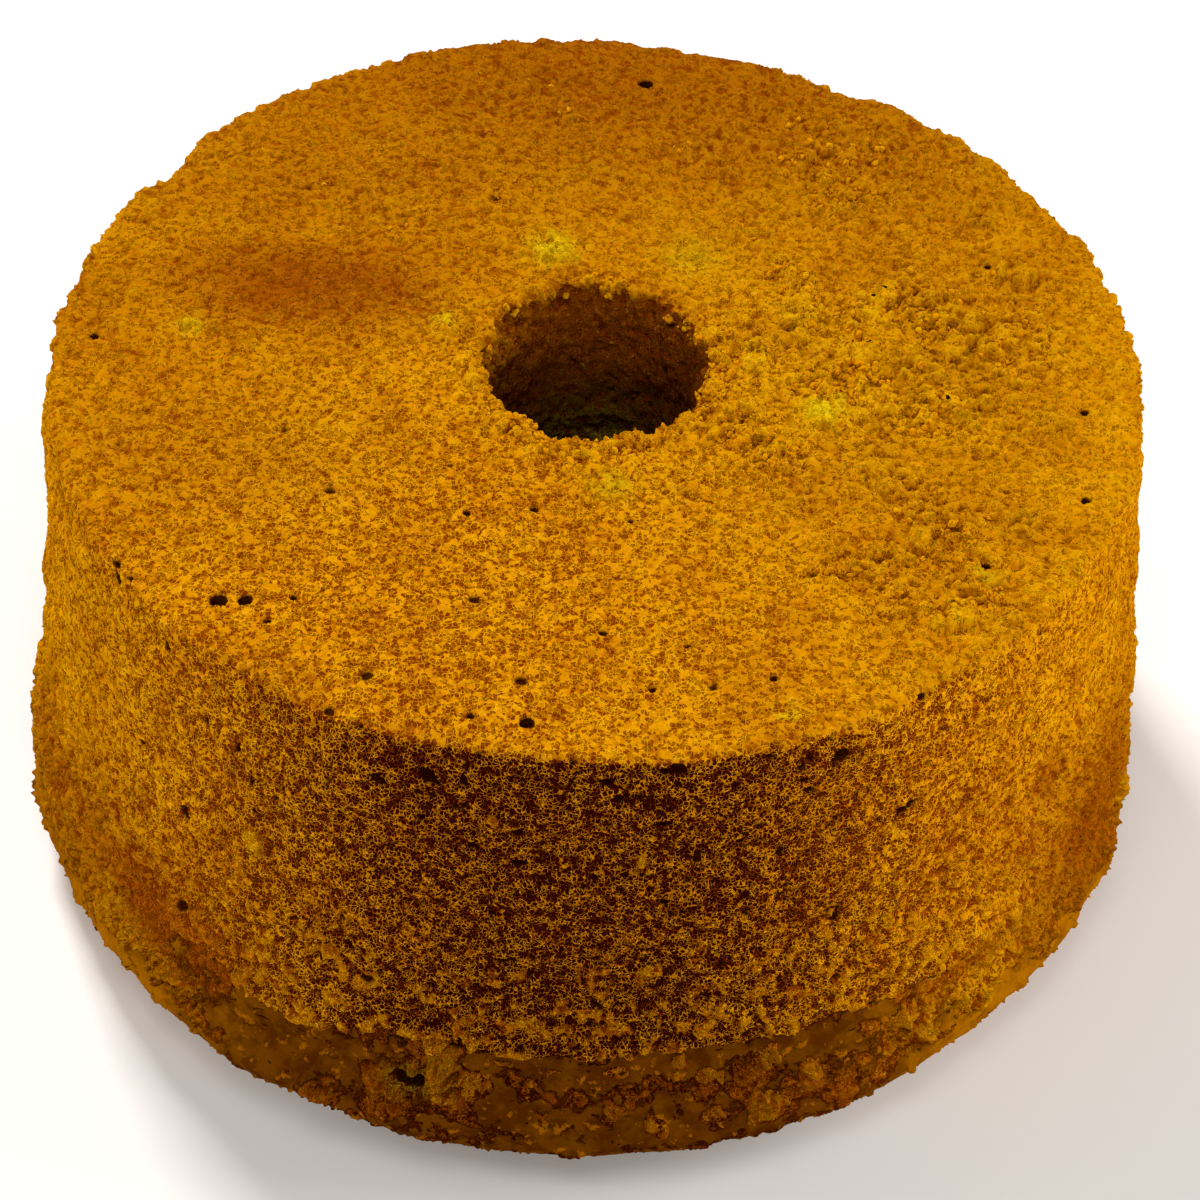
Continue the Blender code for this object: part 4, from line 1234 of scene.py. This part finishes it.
def crumb_material(name, crusted=False):
    """Sponge crumb: golden ridges, pores darkened as painted shade, stains that are partly painted shade,
    torn yellow spots, painted glints and perhaps crust.
    """
    found = bpy.data.materials.get(name)
    if found:
        return found
    sizes = bpy.context.scene.cake_sizes
    colours = bpy.context.scene.cake_colours
    material, nodes, place = new_material(name)
    rest = nodes.mark("rest", "FLOAT_VECTOR")
    openness = nodes.mark("open")
    pores = foam(nodes, place, sizes.pore_pitch, openness)
    clusters = nodes.noise(place, CLUSTER_PITCH, 2.0, 0.6).rising(0.54, 0.40)
    torn = nodes.mark("torn")
    dust = nodes.noise(place, DUST_PITCH, 2.0, 0.6)
    patches = nodes.mark("patches")
    grain_shading = nodes.mark("grain_shading")
    raised = nodes.mark("raised")

    # Yellower in random patches, and lighter on the grains' tops and on raised clumps: partly fresh crumb,
    # partly painted highlight
    yellowing_and_highlight = patches.rising(0.46, 0.64) * 0.25 + grain_shading.rising(0.50, 0.64) * 0.35
    yellowing_and_highlight = yellowing_and_highlight + raised.rising(0.2 * MM, 1.1 * MM) * (0.20 if crusted else 0.40)
    base = nodes.blend(yellowing_and_highlight.smaller(1.0), tone(colours.golden), tone(colours.yellow))
    # Browner where stained and in random patches, and in the valleys between the grains as painted shade
    browning_and_shade = nodes.mark("stain") * (0.75 + patches.rising(0.35, 0.6) * 0.6)
    browning_and_shade = browning_and_shade + grain_shading.rising(0.50, 0.38) * (0.22 + 0.45 * openness + 0.30 * torn)
    browning_and_shade = browning_and_shade + patches.rising(0.54, 0.40) * 0.25
    base = nodes.blend(browning_and_shade.smaller(1.0), base, tone(colours.stain))
    base = nodes.blend(nodes.mark("yellow"), base, tone(colours.fresh))
    hole = nodes.mark("hole")
    # The hole's wall: browned crust, darkened partly as painted shade
    base = nodes.blend(hole * 0.95, base, tone(colours.hole))
    # Painted shade: darker further down the hole
    shade_down_hole = hole * nodes.out(nodes.split(rest), 2).rising(86.0 * MM, 68.0 * MM)
    base = nodes.blend(shade_down_hole * 0.92, base, tone(colours.hole_shade))
    base = nodes.blend(nodes.mark("green"), base, tone(colours.green))

    # Raised clumps get less painted shade, and the valleys between them more
    high = raised.rising(0.05 * MM, 0.70 * MM)
    low = raised.rising(-0.10 * MM, -0.70 * MM)
    # Painted shade: darker in the fine pores, in clusters of merged pores and in the valleys between grains
    # and clumps, near-black where the foam is most open
    recess_shade = pores * (0.30 + 0.70 * openness) + clusters * 0.55 * openness
    recess_shade = recess_shade + grain_shading.rising(0.58, 0.38) * 0.25 * openness + low * (0.40 * openness).bigger(0.35 * torn)
    recess_shade = recess_shade * (1.0 - 0.55 * high) * (1.0 - 0.2 * hole)
    base = nodes.blend(recess_shade.rising(0.0, 0.80), base, tone(colours.pore))
    base = nodes.blend(recess_shade.rising(0.45, 1.0) * openness.rising(0.2, 0.9), base, tone(colours.deep_shade))
    # Painted shade: near-black in sunk bubbles, cavities and large pores
    deep_shade = nodes.mark("sunk").rising(0.30 * MM, 0.75 * MM)
    base = nodes.blend(deep_shade * 0.94, base, tone(colours.deep_shade))
    # Painted highlight: pale glints painted on the thin strands between the fine pores
    painted_glint = dust.rising(0.58, 0.72) * pores.rising(0.25, 0.0) * (1.0 - deep_shade)
    base = nodes.blend(painted_glint * (0.04 + 0.28 * openness), base, tone(colours.painted_glint))
    base = nodes.darker(base, (0.70 + 0.60 * dust) * (0.74 + 0.55 * openness).smaller(1.0))
    height = (dust - 0.5) * 0.24 * MM - pores * sizes.pore_depth

    if crusted:
        base, height = with_crust(nodes, place, rest, base, height, dust)
    matt_surface(nodes, base, 0.80 + 0.12 * pores, height)
    return material


def torn_crumb_material():
    """Torn crumb: golden to fresh yellow from one bit to the next, grainy, and darker in its hollows as
    painted shade.
    """
    colours = bpy.context.scene.cake_colours
    material, nodes, place = new_material("torn crumb")
    grains = nodes.noise(place, 0.7 * MM, 3.0, 0.6)
    fresh = nodes.noise(place, 7.0 * MM, 3.0, 0.6).rising(0.46, 0.66) * 0.8
    base = nodes.blend(fresh, tone(colours.golden), tone(colours.yellow))
    # Painted shade: darker in the hollows between the grains
    base = nodes.blend(grains.rising(0.50, 0.36) * 0.8, base, tone(colours.pore))
    base = nodes.darker(base, 0.55 + 0.60 * grains)
    matt_surface(nodes, base, 0.9, grains * 0.5 * MM)
    return material


def floor_material():
    """Pale studio floor with a faint, even cloudiness."""
    material, nodes, place = new_material("pale floor")
    cloud = nodes.noise(place, 60.0 * MM, 2.0, 0.5)
    pale = bpy.context.scene.cake_colours.floor
    base = nodes.blend(cloud, tone(pale), tone([0.98 * share for share in pale]))
    shader = nodes.made("ShaderNodeBsdfPrincipled", None, {"Base Color": base, "Roughness": 0.9})
    nodes.add("ShaderNodeOutputMaterial", None, {"Surface": shader})
    return material


class CAKE_OT_top(bpy.types.Operator):
    """Make the top face, in quarters, from the rim to the hole's edge"""

    bl_idname = "cake.make_top"
    bl_label = "Top face"

    def execute(self, context):
        start = OUTLINE.start["top"]
        inner = start + INNER_RADIUS - HOLE_TOP_RADIUS - HOLE_TOP_ROUND
        middle = inner + MIDDLE_RADIUS - INNER_RADIUS
        rows = rows_between(start, inner, TOP_STEP, INNER_COLUMNS)[:-1]
        rows += rows_between(inner, middle, TOP_STEP, MIDDLE_COLUMNS)[:-1]
        rows += rows_between(middle, OUTLINE.end["top"], TOP_STEP, OUTER_COLUMNS)
        make_quarters("top_", rows, crumb_material("golden crumb"), flat_map=True)
        return {"FINISHED"}


class CAKE_OT_wall(bpy.types.Operator):
    """Make the wall, in quarters, from the rim to the groove"""

    bl_idname = "cake.make_wall"
    bl_label = "Wall"

    def execute(self, context):
        rows = rows_between(OUTLINE.start["rim"], OUTLINE.end["lip"], WALL_STEP, OUTER_COLUMNS)
        make_quarters("wall_", rows, crumb_material("golden crumb"))
        return {"FINISHED"}


class CAKE_OT_foot(bpy.types.Operator):
    """Make the browned band and the rounded base, in quarters"""

    bl_idname = "cake.make_foot"
    bl_label = "Browned foot"

    def execute(self, context):
        rows = rows_between(OUTLINE.start["ledge"], OUTLINE.end["band"], BAND_STEP, OUTER_COLUMNS)[:-1]
        rows += rows_between(OUTLINE.start["base"], OUTLINE.end["base"], BASE_STEP, OUTER_COLUMNS)
        make_quarters("foot_", rows, crumb_material("browned crust", crusted=True))
        return {"FINISHED"}


class CAKE_OT_underside(bpy.types.Operator):
    """Make the flat underside"""

    bl_idname = "cake.make_underside"
    bl_label = "Underside"

    def execute(self, context):
        start = OUTLINE.start["under"]
        middle = start + FOOT_RADIUS - MIDDLE_RADIUS
        rows = [(start, OUTER_COLUMNS)]
        rows += rows_between(start + UNDER_STEP, middle, UNDER_STEP, MIDDLE_COLUMNS)[:-1]
        rows += rows_between(middle, OUTLINE.end["under"], UNDER_STEP, INNER_COLUMNS)
        material = crumb_material("browned crust", crusted=True)
        make_skin("underside", rows, -180.0, 180.0, material, flat_map=True)
        return {"FINISHED"}


class CAKE_OT_hole(bpy.types.Operator):
    """Make the wall of the hole"""

    bl_idname = "cake.make_hole"
    bl_label = "Hole"

    def execute(self, context):
        rows = rows_between(OUTLINE.start["hole foot"], OUTLINE.end["hole top"], HOLE_STEP, INNER_COLUMNS)
        make_skin("hole_wall", rows, -180.0, 180.0, crumb_material("golden crumb"))
        return {"FINISHED"}


class CAKE_OT_crumbs(bpy.types.Operator):
    """Scatter torn crumbs over the top face and the edge of the hole"""

    bl_idname = "cake.make_crumbs"
    bl_label = "Torn crumbs"

    def execute(self, context):
        first = OUTLINE.end["hole"] - CRUMB_REACH_DOWN - OUTLINE.length
        rows = rows_between(first, OUTLINE.end["top"] - CRUMB_REACH_DOWN, CRUMB_BED_STEP, INNER_COLUMNS)
        mesh = skin_mesh("crumb bed", rows, -180.0, 180.0, flat_map=True)
        source = bpy.data.objects.new("crumb bed", mesh)
        context.scene.collection.objects.link(source)
        relief = source.modifiers.new("crumb relief", "NODES")
        relief.node_group = relief_tree()
        scatter = source.modifiers.new("crumb scatter", "NODES")
        scatter.node_group = crumb_scatter(context.scene.cake_sizes)
        set_input(scatter, "Material", torn_crumb_material())
        place_piece(finished(source, "torn_crumbs"), replaced=False)
        return {"FINISHED"}


def add_light(name, place, width, power, tint):
    """A soft square light at place, facing the middle of the cake."""
    light = bpy.data.lights.new(name, "AREA")
    light.shape = "SQUARE"
    light.size = width
    light.energy = power
    light.color = tint
    lamp = bpy.data.objects.new(name, light)
    lamp.location = place
    lamp.rotation_euler = (Vector(MIDDLE) - Vector(place)).to_track_quat("-Z", "Y").to_euler()
    bpy.context.scene.collection.objects.link(lamp)


def add_camera():
    """The camera, at the photograph's angle."""
    rise = math.radians(CAMERA_RISE)
    roll = math.radians(CAMERA_ROLL)
    back = Vector((0.0, -math.cos(rise), math.sin(rise)))
    level = Vector((1.0, 0.0, 0.0))
    upright = Vector((0.0, math.sin(rise), math.cos(rise)))
    right = level * math.cos(roll) + upright * math.sin(roll)
    up = upright * math.cos(roll) - level * math.sin(roll)
    data = bpy.data.cameras.new("camera")
    data.lens = CAMERA_LENS
    data.sensor_width = CAMERA_SENSOR
    data.clip_start = 0.01
    data.clip_end = 20.0
    camera = bpy.data.objects.new("camera", data)
    turned = Matrix((right, up, back)).transposed().to_4x4()
    turned.translation = Vector(CAMERA_TARGET) + back * CAMERA_DISTANCE
    camera.matrix_world = turned
    bpy.context.scene.collection.objects.link(camera)
    bpy.context.scene.camera = camera


class CAKE_OT_stage(bpy.types.Operator):
    """Make the floor, the lights and the camera"""

    bl_idname = "cake.make_stage"
    bl_label = "Stage"

    def execute(self, context):
        mesh = bpy.data.meshes.new("floor")
        corners = [(x * FLOOR_HALF, y * FLOOR_HALF, 0.0) for x, y in ((-1, -1), (1, -1), (1, 1), (-1, 1))]
        mesh.from_pydata(corners, [], [(0, 1, 2, 3)])
        mesh.materials.append(floor_material())
        floor = bpy.data.objects.new("floor", mesh)
        context.scene.collection.objects.link(floor)

        world = bpy.data.worlds.new("soft room")
        world.use_nodes = True
        background = world.node_tree.nodes["Background"]
        background.inputs["Color"].default_value = (*WARM, 1.0)
        background.inputs["Strength"].default_value = ROOM_STRENGTH
        context.scene.world = world
        for light in LIGHTS:
            add_light(*light)
        add_camera()
        context.scene.view_settings.view_transform = "Standard"
        return {"FINISHED"}


OPERATORS = (
    CAKE_OT_top, CAKE_OT_wall, CAKE_OT_foot, CAKE_OT_underside, CAKE_OT_hole, CAKE_OT_crumbs, CAKE_OT_stage
)


class CAKE_PT_panel(bpy.types.Panel):
    """Makes the cake's pieces and sets its sizes and colours"""

    bl_idname = "CAKE_PT_panel"
    bl_label = "Sponge cake"
    bl_space_type = "VIEW_3D"
    bl_region_type = "UI"
    bl_category = "Cake"

    def draw(self, context):
        for group in (context.scene.cake_sizes, context.scene.cake_colours):
            box = self.layout.box()
            for name in group.__annotations__:
                box.prop(group, name)
        for operator in OPERATORS:
            self.layout.operator(operator.bl_idname)


CLASSES = (CakeSizes, CakeColours, *OPERATORS, CAKE_PT_panel)


def register():
    for kind in CLASSES:
        bpy.utils.register_class(kind)
    bpy.types.Scene.cake_sizes = PointerProperty(type=CakeSizes)
    bpy.types.Scene.cake_colours = PointerProperty(type=CakeColours)


def unregister():
    del bpy.types.Scene.cake_colours
    del bpy.types.Scene.cake_sizes
    for kind in reversed(CLASSES):
        bpy.utils.unregister_class(kind)


def main():
    """Makes every piece and the stage."""
    register()
    bpy.ops.cake.make_stage()
    bpy.ops.cake.make_top()
    bpy.ops.cake.make_wall()
    bpy.ops.cake.make_foot()
    bpy.ops.cake.make_underside()
    bpy.ops.cake.make_hole()
    bpy.ops.cake.make_crumbs()


if __name__ == "__main__":
    main()
